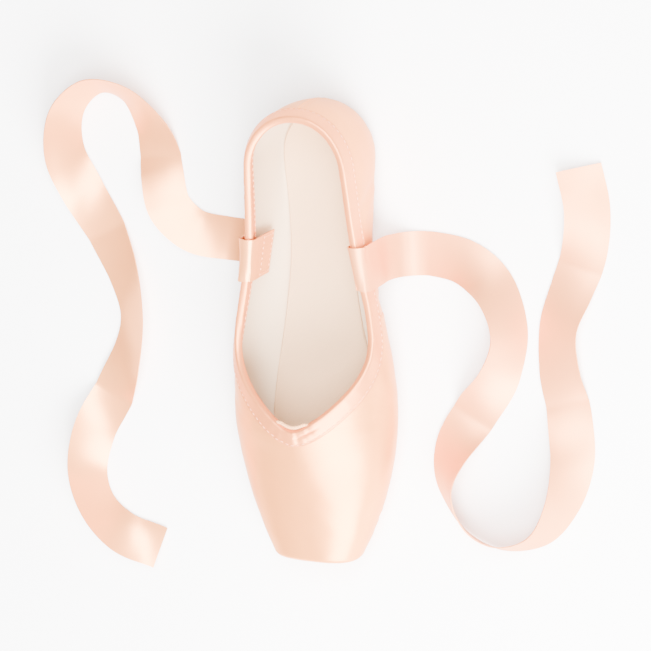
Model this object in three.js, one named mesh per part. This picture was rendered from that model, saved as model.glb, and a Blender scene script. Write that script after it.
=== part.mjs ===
// Pointe shoe: one empty, unbent shoe on its sole. Millimetres, +X to the toe, +Y to the shoe's
// left, +Z up, with the origin on the floor under the middle of the shoe's length.
import * as THREE from 'three';
import { mergeVertices } from 'three/addons/utils/BufferGeometryUtils.js';

// Driving sizes of the shoe
const shoeLength = 232;
const ballWidth = 83;
const throatHeight = 55;
const throatFromToe = 73;
const heelCupDepth = 30;
const archRise = 4.5;
const platformEdge = 3.5;

// Upper
const quarterWall = 1.6;
const boxWall = 3;
const seamStep = 0.4;
const seamFromToe = 128;
const lastingMargin = 7;

// Outsole and insole
const soleThickness = 2.4;
const soleTipFromToe = 19;
const soleNose = 20;
const soleEdge = 0.7;
const insoleThickness = 1.6;
const insoleTipFromToe = 14;
const insoleNose = 20;
const insoleMargin = 0.8;

// Binding, drawstring and ribbons
const bindingWidth = 7;
const bindingThickness = 0.8;
const bindingClearance = 0.5;
const drawstringDiameter = 1.8;
const drawstringReach = 13;
const ribbonWidth = 22;
const ribbonThickness = 0.5;

// Gap between pieces that meet
const clearance = 0.3;

// Sections of the last. at: share of the length from the heel; half: half width, share of half the
// ball width; top: ridge above the floor, share of the throat height; widest: level of the widest
// point, share of the section's height; flat: flat part of the bottom, share of the half width;
// full: exponent of the curve from the widest point to the ridge.
const lastSections = [
  { at: 0.0, half: 0.685, top: 1.27, widest: 0.4, flat: 0.8, full: 2.1 },
  { at: 0.13, half: 0.685, top: 1.27, widest: 0.4, flat: 0.8, full: 2.1 },
  { at: 0.22, half: 0.69, top: 1.26, widest: 0.39, flat: 0.72, full: 2.1 },
  { at: 0.3, half: 0.71, top: 1.24, widest: 0.38, flat: 0.63, full: 2.05 },
  { at: 0.36, half: 0.755, top: 1.21, widest: 0.38, flat: 0.57, full: 2.0 },
  { at: 0.42, half: 0.82, top: 1.17, widest: 0.37, flat: 0.55, full: 1.95 },
  { at: 0.48, half: 0.885, top: 1.14, widest: 0.37, flat: 0.56, full: 1.88 },
  { at: 0.55, half: 0.95, top: 1.09, widest: 0.37, flat: 0.6, full: 1.76 },
  { at: 0.625, half: 0.995, top: 1.04, widest: 0.37, flat: 0.65, full: 1.65 },
  { at: 0.685, half: 1.0, top: 1.0, widest: 0.37, flat: 0.68, full: 1.62 },
  { at: 0.752, half: 0.966, top: 0.89, widest: 0.37, flat: 0.69, full: 1.76 },
  { at: 0.812, half: 0.895, top: 0.8, widest: 0.37, flat: 0.71, full: 1.95 },
  { at: 0.861, half: 0.825, top: 0.73, widest: 0.37, flat: 0.72, full: 2.15 },
  { at: 0.91, half: 0.732, top: 0.665, widest: 0.38, flat: 0.66, full: 2.35 },
  { at: 0.946, half: 0.66, top: 0.618, widest: 0.39, flat: 0.6, full: 2.5 },
  { at: 1.0, half: 0.52, top: 0.56, widest: 0.42, flat: 0.5, full: 2.6 },
];

// Roundness of the curve from the flat of the bottom to the widest point
const lowerFullness = 2.2;

// Collar. at: share of the way from the heel to the throat; height: share of the ridge's height
// at the throat.
const collarHeights = [
  { at: 0.0, height: 0.945 },
  { at: 0.126, height: 0.927 },
  { at: 0.283, height: 0.84 },
  { at: 0.472, height: 0.722 },
  { at: 0.629, height: 0.655 },
  { at: 0.7, height: 0.66 },
  { at: 0.76, height: 0.695 },
  { at: 0.81, height: 0.752 },
  { at: 0.865, height: 0.832 },
  { at: 0.918, height: 0.91 },
  { at: 0.972, height: 0.977 },
  { at: 1.0, height: 1.0 },
];

// Underside of the sole above the floor. at: share of the length; rise: share of the arch rise.
const soleRises = [
  { at: 0.0, rise: 0 },
  { at: 0.2, rise: 0 },
  { at: 0.27, rise: 0.25 },
  { at: 0.34, rise: 0.71 },
  { at: 0.42, rise: 1 },
  { at: 0.5, rise: 0.71 },
  { at: 0.57, rise: 0.25 },
  { at: 0.63, rise: 0 },
  { at: 0.9, rise: 0 },
  { at: 1.0, rise: 0.2 },
];

// Outline of the outsole. at: share of the length; reach: share of half the ball width, measured
// from the middle line, and round the heel from the centre of the heel cup.
const soleReaches = [
  { at: 0.0, reach: 0.54 },
  { at: 0.065, reach: 0.55 },
  { at: 0.13, reach: 0.47 },
  { at: 0.2, reach: 0.445 },
  { at: 0.34, reach: 0.385 },
  { at: 0.42, reach: 0.38 },
  { at: 0.5, reach: 0.43 },
  { at: 0.58, reach: 0.53 },
  { at: 0.66, reach: 0.605 },
  { at: 0.74, reach: 0.62 },
  { at: 0.8, reach: 0.6 },
  { at: 0.85, reach: 0.57 },
  { at: 1.0, reach: 0.45 },
];

// Routes of the two ribbons, from the stitching inside the quarter over the collar to the floor.
// x, y, z: the ribbon's middle; turn and bank: degrees from +X in plan and from the level of the
// direction across the ribbon.
const ribbonRoutes = {
  ribbon_left: [
    { x: -38, y: 25, z: 16, turn: 8, bank: -11 },
    { x: -38, y: 25.2, z: 27, turn: 8, bank: -11 },
    { x: -38, y: 25.2, z: 36.5, turn: 8, bank: -11 },
    { x: -38, y: 26.1, z: 40.8, turn: 8, bank: -11 },
    { x: -38, y: 28.8, z: 41.8, turn: 8, bank: -11 },
    { x: -38, y: 31.7, z: 40.6, turn: 8, bank: -11 },
    { x: -38, y: 32.9, z: 36.5, turn: 8, bank: -11 },
    { x: -38, y: 33.4, z: 26, turn: 8, bank: -8 },
    { x: -38, y: 34.4, z: 11, turn: 6, bank: -4 },
    { x: -38.5, y: 41, z: 2.6, turn: 3, bank: 0 },
    { x: -39, y: 54, z: 0.4, turn: 0, bank: 0 },
    { x: -36, y: 72, z: 3.2, turn: -15, bank: 15 },
    { x: -24, y: 88, z: 8.2, turn: -50, bank: 45 },
    { x: -4, y: 95, z: 9.4, turn: -85, bank: 55 },
    { x: 18, y: 90, z: 7.5, turn: -115, bank: 40 },
    { x: 38, y: 77, z: 1.4, turn: -125, bank: 5 },
    { x: 58, y: 66, z: 5.9, turn: -110, bank: -30 },
    { x: 78, y: 64, z: 9.9, turn: -85, bank: -60 },
    { x: 96, y: 74, z: 10.6, turn: -45, bank: -68 },
    { x: 104, y: 92, z: 10.7, turn: -5, bank: -70 },
    { x: 98, y: 111, z: 10.4, turn: 35, bank: -65 },
    { x: 80, y: 123, z: 8.8, turn: 70, bank: -50 },
    { x: 58, y: 127, z: 5.9, turn: 90, bank: -30 },
    { x: 36, y: 124, z: 1.4, turn: 102, bank: -5 },
    { x: 14, y: 119, z: 3.2, turn: 100, bank: 15 },
    { x: -8, y: 118, z: 5, turn: 85, bank: 25 },
    { x: -28, y: 124, z: 2.3, turn: 68, bank: 10 },
    { x: -48, y: 130, z: 2.7, turn: 78, bank: -12 },
    { x: -68, y: 131, z: 4.5, turn: 96, bank: -22 },
    { x: -87, y: 126, z: 2.3, turn: 106, bank: -10 },
  ],
  ribbon_right: [
    { x: -38, y: -25, z: 16, turn: -8, bank: -11 },
    { x: -38, y: -25.2, z: 27, turn: -8, bank: -11 },
    { x: -38, y: -25.2, z: 36.5, turn: -8, bank: -11 },
    { x: -38, y: -26.1, z: 40.8, turn: -8, bank: -11 },
    { x: -38, y: -28.8, z: 41.8, turn: -8, bank: -11 },
    { x: -38, y: -31.7, z: 40.6, turn: -8, bank: -11 },
    { x: -38, y: -32.9, z: 36.5, turn: -8, bank: -11 },
    { x: -38, y: -33.4, z: 26, turn: -8, bank: -8 },
    { x: -38, y: -34.4, z: 11, turn: -6, bank: -4 },
    { x: -38.5, y: -41, z: 2.6, turn: -3, bank: 0 },
    { x: -39, y: -54, z: 0.4, turn: 0, bank: 0 },
    { x: -42, y: -71, z: 3.1, turn: -14, bank: 14 },
    { x: -54, y: -84, z: 5.6, turn: -55, bank: 28 },
    { x: -73, y: -89, z: 1.9, turn: -82, bank: 8 },
    { x: -93, y: -93, z: 5.2, turn: -68, bank: -26 },
    { x: -109, y: -104, z: 9.4, turn: -32, bank: -55 },
    { x: -113, y: -122, z: 10.6, turn: 12, bank: -68 },
    { x: -101, y: -136, z: 10.3, turn: 60, bank: -64 },
    { x: -78, y: -139, z: 8.6, turn: 95, bank: -48 },
    { x: -58, y: -131, z: 4.2, turn: 115, bank: -20 },
    { x: -38, y: -120, z: 0.4, turn: 118, bank: 0 },
    { x: -18, y: -110, z: 4.5, turn: 112, bank: 22 },
    { x: 4, y: -104, z: 7.5, turn: 93, bank: 40 },
    { x: 26, y: -108, z: 5.9, turn: 70, bank: 30 },
    { x: 46, y: -117, z: 0.4, turn: 63, bank: 0 },
    { x: 66, y: -127, z: 5, turn: 72, bank: -25 },
    { x: 87, y: -130, z: 8.8, turn: 95, bank: -50 },
    { x: 106, y: -124, z: 10.1, turn: 122, bank: -62 },
    { x: 120, y: -110, z: 7.5, turn: 145, bank: -40 },
    { x: 127, y: -92, z: 2.3, turn: 165, bank: -10 },
  ],
};

// Mesh density, and turns of the two searches for a place on the surface
const bottomRows = 3;
const sideRows = 11;
const heelSteps = 9;
const stationSpacing = 7.5;
const edgeFractions = [0, 0.02, 0.08, 0.18, 0.32, 0.5, 0.72, 1];
const edgeStretch = 20;
const filletSteps = 4;
const quadrantSteps = 20;
const leastSpacing = 0.05;
const rimLead = 1;
const halvings = 40;
const settlings = 6;

// Places worked out from the sizes
const halfBall = ballWidth / 2;
const throatStation = shoeLength - throatFromToe;
const seamStation = shoeLength - seamFromToe;
const soleTip = shoeLength - soleTipFromToe;
const openingTip = soleTip - lastingMargin;
const insoleTip = shoeLength - insoleTipFromToe;
const middleStation = (shoeLength + seamStep) / 2;

// A smooth curve through one column of a table, without overshoot between its rows
function column(table, name, scale = 1) {
  const at = table.map((row) => row.at);
  const value = table.map((row) => row[name] * scale);
  const slope = at.slice(1).map((next, i) => (value[i + 1] - value[i]) / (next - at[i]));
  const tangent = at.map((_, i) => {
    if (i === 0) return slope[0];
    if (i === slope.length) return slope[i - 1];
    if (slope[i - 1] * slope[i] <= 0) return 0;
    return (2 * slope[i - 1] * slope[i]) / (slope[i - 1] + slope[i]);
  });
  return (share) => {
    const x = THREE.MathUtils.clamp(share, at[0], at[at.length - 1]);
    let i = 0;
    while (i < slope.length - 1 && x > at[i + 1]) i += 1;
    const span = at[i + 1] - at[i];
    const t = (x - at[i]) / span;
    const fromStart = (1 + 2 * t) * (1 - t) ** 2 * value[i] + t * (1 - t) ** 2 * span * tangent[i];
    const fromEnd = t * t * (3 - 2 * t) * value[i + 1] + t * t * (t - 1) * span * tangent[i + 1];
    return fromStart + fromEnd;
  };
}

const halfOf = column(lastSections, 'half', halfBall);
const topOf = column(lastSections, 'top', throatHeight);
const widestOf = column(lastSections, 'widest');
const flatOf = column(lastSections, 'flat');
const fullOf = column(lastSections, 'full');
const riseOf = column(soleRises, 'rise', archRise);
const soleReachOf = column(soleReaches, 'reach', halfBall);
const collarOf = column(collarHeights, 'height', topOf(throatStation / shoeLength));

// Sections stand square to the length, and fan out round the heel from the centre of its cup
function sectionFrame(station) {
  const angle = (Math.max(heelCupDepth - station, 0) / heelCupDepth) * (Math.PI / 2);
  return { x: Math.max(station, heelCupDepth), out: [-Math.sin(angle), Math.cos(angle)], angle };
}

function place(station, reach, z) {
  const frame = sectionFrame(station);
  const y = station <= 0 ? 0 : frame.out[1] * reach;
  return new THREE.Vector3(frame.x + frame.out[0] * reach - middleStation, y, z);
}

function bottomOf(station) {
  return riseOf(station / shoeLength) + soleThickness + clearance;
}

function reachOf(station) {
  const { angle } = sectionFrame(station);
  const half = halfOf(Math.max(station, heelCupDepth) / shoeLength);
  return 1 / Math.hypot(Math.sin(angle) / heelCupDepth, Math.cos(angle) / half);
}

// One section of the last from the middle of the bottom (0) to the ridge (1), by arc length
const sections = new Map();
function section(station) {
  if (sections.has(station)) return sections.get(station);
  const share = station / shoeLength;
  const half = reachOf(station);
  const bottom = bottomOf(station);
  const top = topOf(share);
  const widest = bottom + widestOf(share) * (top - bottom);
  const flat = flatOf(share) * half;
  const full = fullOf(share);
  const points = [[0, bottom]];
  for (let i = 0; i <= quadrantSteps; i += 1) {
    const t = (i / quadrantSteps) * (Math.PI / 2);
    const across = Math.sin(t) ** (2 / lowerFullness);
    const down = Math.cos(t) ** (2 / lowerFullness);
    points.push([flat + (half - flat) * across, widest - (widest - bottom) * down]);
  }
  for (let i = 1; i <= quadrantSteps; i += 1) {
    const t = (i / quadrantSteps) * (Math.PI / 2);
    const across = i === quadrantSteps ? 0 : Math.cos(t) ** (2 / full);
    points.push([half * across, widest + (top - widest) * Math.sin(t) ** (2 / full)]);
  }
  const lengths = [0];
  for (let i = 1; i < points.length; i += 1) {
    const step = Math.hypot(points[i][0] - points[i - 1][0], points[i][1] - points[i - 1][1]);
    lengths.push(lengths[i - 1] + step);
  }
  const made = { points, lengths, length: lengths[lengths.length - 1], flat };
  sections.set(station, made);
  return made;
}

// Point of the last's surface; past the ridge, the middle of the bottom or the back of the heel
// it carries on over the other side
function surface(station, share) {
  if (station < 0) return surface(-station, share).multiply(new THREE.Vector3(1, -1, 1));
  if (share > 1) return surface(station, 2 - share).multiply(new THREE.Vector3(1, -1, 1));
  if (share < 0) return surface(station, -share).multiply(new THREE.Vector3(1, -1, 1));
  const { points, lengths, length } = section(station);
  const along = share * length;
  let i = 1;
  while (i < lengths.length - 1 && lengths[i] < along) i += 1;
  const t = (along - lengths[i - 1]) / (lengths[i] - lengths[i - 1]);
  const reach = points[i - 1][0] + (points[i][0] - points[i - 1][0]) * t;
  return place(station, reach, points[i - 1][1] + (points[i][1] - points[i - 1][1]) * t);
}

const stationStep = 0.4;
const shareStep = 0.012;
function tangents(station, share) {
  const ahead = Math.min(station + stationStep, shoeLength);
  const along = surface(ahead, share).sub(surface(station - stationStep, share));
  const up = surface(station, share + shareStep).sub(surface(station, share - shareStep));
  return {
    along: along.divideScalar(ahead - station + stationStep),
    up: up.divideScalar(2 * shareStep),
  };
}

function normal(station, share) {
  const { along, up } = tangents(station, share);
  const out = new THREE.Vector3().crossVectors(up, along);
  if (station <= 0 || share <= 0 || share >= 1) out.y = 0;
  return out.normalize();
}

// Surface at a depth below the last's surface, which is the outside of the satin
function shell(station, share, depth) {
  return surface(station, share).addScaledVector(normal(station, share), -depth);
}

// The platform is flat and its edge is rounded. turn: 0 where the side ends, 1 on the platform.
function platformShell(turn, share, depth) {
  let start = shoeLength - platformEdge;
  for (let i = 0; i < settlings; i += 1) {
    start = shoeLength - platformEdge * (1 - normal(start, share).x);
  }
  const side = normal(start, share);
  const centre = surface(start, share).addScaledVector(side, -platformEdge);
  centre.x = shoeLength - middleStation - platformEdge;
  const between = Math.acos(side.x) * turn;
  const across = new THREE.Vector3(0, side.y, side.z).normalize();
  const tilt = Math.acos(side.x) - between;
  const out = new THREE.Vector3(Math.cos(tilt), 0, 0).addScaledVector(across, Math.sin(tilt));
  return centre.addScaledVector(out, platformEdge - depth);
}

function smooth(from, to, x) {
  const t = THREE.MathUtils.clamp((x - from) / (to - from), 0, 1);
  return t * t * (3 - 2 * t);
}

// The stiffened box is thicker than the quarters, and the vamp laps over the quarters by a step
const boxStart = 0.62;
const boxFull = 0.8;
const seamSlope = 0.3;
function outerDepth(station) {
  return seamStep * (1 - smooth(seamStation - seamSlope, seamStation + seamSlope, station));
}
function innerDepth(station) {
  const stiff = smooth(boxStart * shoeLength, boxFull * shoeLength, station);
  return seamStep + quarterWall + (boxWall - quarterWall) * stiff;
}

// Outline of the outsole, kept back from its edge by an inset, with a round nose
function soleOutline(station, inset) {
  const noseStart = soleTip - soleNose;
  const full = soleReachOf(Math.min(station, noseStart) / shoeLength) - inset;
  const share = Math.max(station - noseStart, 0) / (soleNose - inset);
  return share >= 1 ? 0 : full * Math.sqrt(1 - share * share);
}

function insoleOutline(station) {
  const noseStart = insoleTip - insoleNose;
  const full = section(Math.min(station, noseStart)).flat - insoleMargin;
  const share = Math.max(station - noseStart, 0) / insoleNose;
  return share >= 1 ? 0 : full * Math.sqrt(1 - share * share);
}

// Share of a section at which the collar's edge and the opening underneath cut it
function collarShare(station) {
  if (station >= throatStation) return 1;
  const height = collarOf(station / throatStation);
  let low = 0;
  let high = 1;
  for (let i = 0; i < halvings; i += 1) {
    const middle = (low + high) / 2;
    if (surface(station, middle).z < height) low = middle;
    else high = middle;
  }
  return (low + high) / 2;
}

function openingShare(station) {
  return soleOutline(station, lastingMargin) / section(station).length;
}

// Stations along the shoe: even steps, and finer ones up to each place where an edge turns over
function stationList(end, marks) {
  const fixed = [end, ...marks].filter((mark) => mark <= end);
  const heel = [...Array(heelSteps).keys()].map((i) => (heelCupDepth * i) / heelSteps);
  const count = Math.round((end - heelCupDepth) / stationSpacing);
  const even = [...Array(count).keys()].map((i) => {
    return heelCupDepth + ((end - heelCupDepth) * i) / count;
  });
  const free = even.filter((x) => fixed.every((mark) => Math.abs(mark - x) > stationSpacing / 3));
  const sorted = [...new Set([...heel, ...free, ...fixed])].sort((a, b) => a - b);
  return sorted.filter((x, i) => i === 0 || x - sorted[i - 1] > leastSpacing);
}

function edgeMarks(edge, stretch = edgeStretch) {
  return edgeFractions.map((share) => edge - share * stretch);
}

const seamMarks = [seamStation - seamSlope, seamStation, seamStation + seamSlope];

// A closed mesh from half loops on the +Y side and their mirror image. Faces on the middle plane
// are inside the body, so they are left out. A cap closes a ring of the last loop at its middle.
function mirroredLoft(loops, caps = []) {
  const triangles = [];
  const add = (a, b, c) => {
    if ([a, b, c].every((p) => Math.abs(p.y) < 1e-6)) return;
    triangles.push([a, b, c]);
  };
  for (let i = 0; i + 1 < loops.length; i += 1) {
    const count = loops[i].length;
    for (let j = 0; j < count; j += 1) {
      const [a, b] = [loops[i][j], loops[i + 1][j]];
      const [c, d] = [loops[i + 1][(j + 1) % count], loops[i][(j + 1) % count]];
      if (a.distanceTo(c) < b.distanceTo(d)) {
        add(a, b, c);
        add(a, c, d);
      } else {
        add(a, b, d);
        add(b, c, d);
      }
    }
  }
  for (const { ring, middle } of caps) {
    for (let j = 0; j + 1 < ring.length; j += 1) add(ring[j], middle, ring[j + 1]);
  }
  const positions = [];
  for (const [a, b, c] of triangles) {
    for (const p of [a, c, b]) positions.push(p.x, p.y, p.z);
    for (const p of [a, b, c]) positions.push(p.x, -p.y, p.z);
  }
  return closedGeometry(positions);
}

// Merge the corners and drop the faces that have shrunk to a line
function closedGeometry(positions) {
  const loose = new THREE.BufferGeometry();
  loose.setAttribute('position', new THREE.Float32BufferAttribute(positions, 3));
  const merged = mergeVertices(loose, 1e-3);
  const index = [...merged.index.array];
  const kept = [];
  for (let i = 0; i < index.length; i += 3) {
    const [a, b, c] = index.slice(i, i + 3);
    if (a !== b && b !== c && c !== a) kept.push(a, b, c);
  }
  merged.setIndex(kept);
  merged.computeVertexNormals();
  return merged;
}

// Upper: one shell, open at the collar and underneath
function upperGeometry() {
  const marks = [...edgeMarks(throatStation), ...edgeMarks(openingTip), ...seamMarks];
  const lastStation = shoeLength - platformEdge - rimLead;
  const loop = (shares, point, outside, inside) => {
    const [low, corner, high] = shares;
    const bottom = [...Array(bottomRows).keys()].map((i) => {
      return low + ((corner - low) * i) / bottomRows;
    });
    const side = [...Array(sideRows).keys()].map((i) => {
      return corner + ((high - corner) * i) / (sideRows - 1);
    });
    const rows = [...bottom, ...side];
    const outer = rows.map((share) => point(share, outside));
    const inner = rows.map((share) => point(share, inside));
    return [...outer, ...inner.reverse()];
  };
  const cornerShare = (station) => section(station).flat / section(station).length;
  const loops = stationList(lastStation, marks).map((station) => {
    const shares = [openingShare(station), cornerShare(station), collarShare(station)];
    const point = (share, depth) => shell(station, share, depth);
    return loop(shares, point, outerDepth(station), innerDepth(station));
  });
  for (let i = 0; i <= filletSteps; i += 1) {
    const point = (share, depth) => platformShell(i / filletSteps, share, depth);
    loops.push(loop([0, cornerShare(shoeLength), 1], point, 0, innerDepth(shoeLength)));
  }
  const end = loops[loops.length - 1];
  const outerRing = end.slice(0, end.length / 2);
  const innerRing = end.slice(end.length / 2);
  const middle = (ring) => {
    const [first, last] = [ring[0], ring[ring.length - 1]];
    return new THREE.Vector3(first.x, 0, (first.z + last.z) / 2);
  };
  return mirroredLoft(loops, [
    { ring: outerRing, middle: middle(outerRing) },
    { ring: innerRing, middle: middle(innerRing) },
  ]);
}

// A point reached by going down the surface from the collar's edge, square to the edge
function downFrom(station, share, direction, distance) {
  const steps = 4;
  let at = { station, share };
  const heading = direction.clone();
  for (let i = 0; i < steps && distance > 0; i += 1) {
    const { along, up } = tangents(at.station, at.share);
    const [aa, ab, bb] = [along.dot(along), along.dot(up), up.dot(up)];
    const [da, db] = [heading.dot(along), heading.dot(up)];
    const scale = distance / steps / (aa * bb - ab * ab);
    at = {
      station: at.station + (da * bb - db * ab) * scale,
      share: Math.min(at.share + (db * aa - da * ab) * scale, 1),
    };
    const out = normal(at.station, at.share);
    heading.addScaledVector(out, -heading.dot(out)).normalize();
  }
  return at;
}

// The collar's edge: its point, the direction out of the wall, and the surface's normal
function collarEdge() {
  const stations = stationList(throatStation, [...edgeMarks(throatStation), ...seamMarks]);
  const points = stations.map((station) => shell(station, collarShare(station), 0));
  return stations.map((station, i) => {
    const share = collarShare(station);
    const before = i > 0 ? points[i - 1] : points[1].clone().multiply(new THREE.Vector3(1, -1, 1));
    const last = points.length - 1;
    const mirror = points[last - 1].clone().multiply(new THREE.Vector3(1, -1, 1));
    const after = i < last ? points[i + 1] : mirror;
    const out = normal(station, share);
    const run = after.clone().sub(before).normalize();
    const up = new THREE.Vector3().crossVectors(run, out).normalize();
    if (i === 0 || i === last) up.y = 0;
    return { station, share, point: points[i], out, up: up.normalize() };
  });
}

// How far out the fold reaches at its turns, as a share of its height
const foldRound = 0.7;

// Binding: a tape folded over the collar's edge, a leaf on each side of the wall
function bindingGeometry() {
  const drops = [1, 0.5, 0].map((share) => share * bindingWidth);
  const loops = collarEdge().map(({ station, share, point, out, up }) => {
    const near = bindingClearance;
    const far = bindingClearance + bindingThickness;
    const wall = innerDepth(station);
    const lean = up.clone().negate();
    const down = drops.map((drop) => downFrom(station, share, lean, drop));
    const outside = (gap) => down.map((at) => shell(at.station, at.share, -gap));
    const inside = (gap) => {
      return down.map((at) => shell(at.station, at.share, innerDepth(at.station) + gap));
    };
    const over = (depth, rise) => {
      return point.clone().addScaledVector(out, -depth).addScaledVector(up, rise);
    };
    const loop = [
      ...outside(far),
      over(-far * foldRound, far * foldRound),
      over(wall / 2, far),
      over(wall + far * foldRound, far * foldRound),
      ...inside(far).reverse(),
      ...inside(near),
      over(wall / 2, near),
      ...outside(near).reverse(),
    ];
    if (station <= 0 || station >= throatStation) loop.forEach((p) => p.setY(0));
    return loop;
  });
  return mirroredLoft(loops);
}

// A half section of points with a reach from the middle line and a level, at each station
function plateGeometry(stations, profile) {
  return mirroredLoft(
    stations.map((station) => profile(station).map(([reach, z]) => place(station, reach, z))),
  );
}

// Outsole: one narrow leather piece with rounded edges
function outsoleGeometry() {
  const stations = stationList(soleTip, edgeMarks(soleTip));
  return plateGeometry(stations, (station) => {
    const low = riseOf(station / shoeLength);
    const high = low + soleThickness;
    const full = soleOutline(station, 0);
    const cut = soleOutline(station, soleEdge);
    return [
      [0, low],
      [cut, low],
      [full, low + soleEdge],
      [full, high - soleEdge / 2],
      [Math.max(full - soleEdge / 2, 0), high],
      [0, high],
    ];
  });
}

// Insole: a board on the turned-in edge of the upper, with its filler in the opening between
function insoleGeometry() {
  const marks = [...edgeMarks(insoleTip), ...edgeMarks(openingTip - clearance)];
  return plateGeometry(stationList(insoleTip, marks), (station) => {
    const seat = bottomOf(station) + innerDepth(station) + clearance;
    const filler = soleOutline(station, lastingMargin + clearance);
    const plate = insoleOutline(station);
    const low = filler > 0 ? bottomOf(station) : seat;
    return [
      [0, low],
      [filler, low],
      [filler, seat],
      [plate, seat],
      [plate, seat + insoleThickness],
      [0, seat + insoleThickness],
    ];
  });
}

// Drawstring: the short stretch of cord that shows along the binding at the throat
function drawstringGeometry() {
  const radius = drawstringDiameter / 2;
  const rise = bindingClearance + bindingThickness + clearance + radius;
  const side = collarEdge()
    .filter(({ point }) => point.y < drawstringReach)
    .filter(({ point }) => point.x > 0)
    .map(({ point, out, up, station }) => {
      const middle = point.clone().addScaledVector(out, -innerDepth(station) / 2);
      return middle.addScaledVector(up, rise);
    });
  const other = side.slice(0, -1).reverse();
  const mirrored = other.map((p) => new THREE.Vector3(p.x, -p.y, p.z));
  const path = new THREE.CatmullRomCurve3([...side, ...mirrored]);
  const shape = new THREE.Shape().absarc(0, 0, radius, 0, Math.PI * 2);
  const cord = new THREE.ExtrudeGeometry(shape, {
    steps: 16,
    curveSegments: 4,
    extrudePath: path,
    bevelEnabled: false,
  });
  cord.deleteAttribute('normal');
  cord.deleteAttribute('uv');
  return closedGeometry([...(cord.index ? cord.toNonIndexed() : cord).attributes.position.array]);
}

// Ribbon: a flat band that follows its route, its direction across given by turn and bank
function ribbonGeometry(route) {
  const path = new THREE.CatmullRomCurve3(route.map(({ x, y, z }) => new THREE.Vector3(x, y, z)));
  const across = route.map(({ turn, bank }) => {
    const [t, b] = [turn, bank].map(THREE.MathUtils.degToRad);
    return new THREE.Vector3(Math.cos(t) * Math.cos(b), Math.sin(t) * Math.cos(b), Math.sin(b));
  });
  const swing = new THREE.CatmullRomCurve3(across);
  const perLeg = 3;
  const count = (route.length - 1) * perLeg;
  const corners = [];
  for (let i = 0; i <= count; i += 1) {
    const middle = path.getPoint(i / count);
    const run = path.getTangent(i / count);
    const wide = swing.getPoint(i / count);
    wide.addScaledVector(run, -wide.dot(run)).normalize().multiplyScalar(ribbonWidth / 2);
    const thick = new THREE.Vector3().crossVectors(run, wide).normalize();
    thick.multiplyScalar(ribbonThickness / 2);
    middle.z = Math.max(middle.z, Math.abs(wide.z) + Math.abs(thick.z) + clearance / 3);
    corners.push(
      [[1, 1], [-1, 1], [-1, -1], [1, -1]].map(([w, t]) => {
        return middle.clone().addScaledVector(wide, w).addScaledVector(thick, t);
      }),
    );
  }
  const positions = [];
  const face = (...ring) => {
    for (const p of [ring[0], ring[1], ring[2], ring[0], ring[2], ring[3]]) {
      positions.push(p.x, p.y, p.z);
    }
  };
  for (let i = 0; i < count; i += 1) {
    for (let j = 0; j < 4; j += 1) {
      const next = (j + 1) % 4;
      face(corners[i][j], corners[i][next], corners[i + 1][next], corners[i + 1][j]);
    }
  }
  face(...[...corners[0]].reverse());
  face(...corners[count]);
  return closedGeometry(positions);
}

function piece(name, geometry, colour, roughness) {
  const material = new THREE.MeshStandardMaterial({ color: colour, roughness, metalness: 0 });
  const mesh = new THREE.Mesh(geometry, material);
  mesh.name = name;
  return mesh;
}

const shoe = new THREE.Group();
shoe.add(
  piece('upper', upperGeometry(), 0xfce2d9, 0.42),
  piece('binding', bindingGeometry(), 0xf6ceb9, 0.45),
  piece('drawstring', drawstringGeometry(), 0xf8ded2, 0.7),
  piece('outsole', outsoleGeometry(), 0xeed0b6, 0.8),
  piece('insole', insoleGeometry(), 0xe6d3bc, 0.85),
);
for (const [name, route] of Object.entries(ribbonRoutes)) {
  shoe.add(piece(name, ribbonGeometry(route), 0xfaecd9, 0.4));
}

export default shoe;
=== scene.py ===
# Looks of a satin pointe shoe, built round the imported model. It stands empty on its sole, +X to
# the toe and +Z up, in metres. Shapes of the shoe are worked out in millimetres, as its maker
# measures them, and MM turns them into metres.
import math

import bmesh
import bpy
import numpy as np
from mathutils import Matrix, Vector, noise


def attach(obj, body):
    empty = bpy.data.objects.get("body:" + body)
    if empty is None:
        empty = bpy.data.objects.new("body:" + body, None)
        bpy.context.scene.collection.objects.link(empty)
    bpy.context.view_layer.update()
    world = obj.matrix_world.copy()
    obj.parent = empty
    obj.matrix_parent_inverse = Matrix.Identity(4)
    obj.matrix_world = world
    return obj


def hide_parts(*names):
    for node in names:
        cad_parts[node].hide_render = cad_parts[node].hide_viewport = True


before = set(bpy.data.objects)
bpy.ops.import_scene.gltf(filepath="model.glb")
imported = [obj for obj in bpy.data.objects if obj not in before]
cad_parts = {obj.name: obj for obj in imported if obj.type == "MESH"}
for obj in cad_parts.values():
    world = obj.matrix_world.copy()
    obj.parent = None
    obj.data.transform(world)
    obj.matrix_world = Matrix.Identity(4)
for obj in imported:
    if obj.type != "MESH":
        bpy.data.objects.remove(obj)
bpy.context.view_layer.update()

# Studio: a plain pale floor under soft light from a wide sky and large panels, and a camera that
# looks down on the vamp, turned a little to the shoe's left, with the toe at the foot of the
# picture.
VIEW_TURN = math.radians(20)
VIEW_TILT = math.radians(14)
VIEW_CENTRE = Vector((-0.003, 0.004, 0.018))
VIEW_DISTANCE = 1.4
VIEW_LENS = 158
FLOOR_REACH = 4.0
FLOOR_TONE = 0.97
SKY_TINT = (1.0, 0.99, 0.98, 1)
SKY_HORIZON = 2.2
SKY_LOW = 0.2
SKY_HIGH = 0.85
# Share of the way from the horizon to the top, and the strength of the sky there
SKY_STOPS = ((0.0, SKY_HORIZON), (0.06, SKY_HORIZON), (0.14, SKY_LOW), (0.5, SKY_LOW), (0.8, SKY_HIGH))
FILL_TINT = (1.0, 0.74, 0.52)


def set_inputs(node, values):
    for name, value in values.items():
        node.inputs[name].default_value = value


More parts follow.
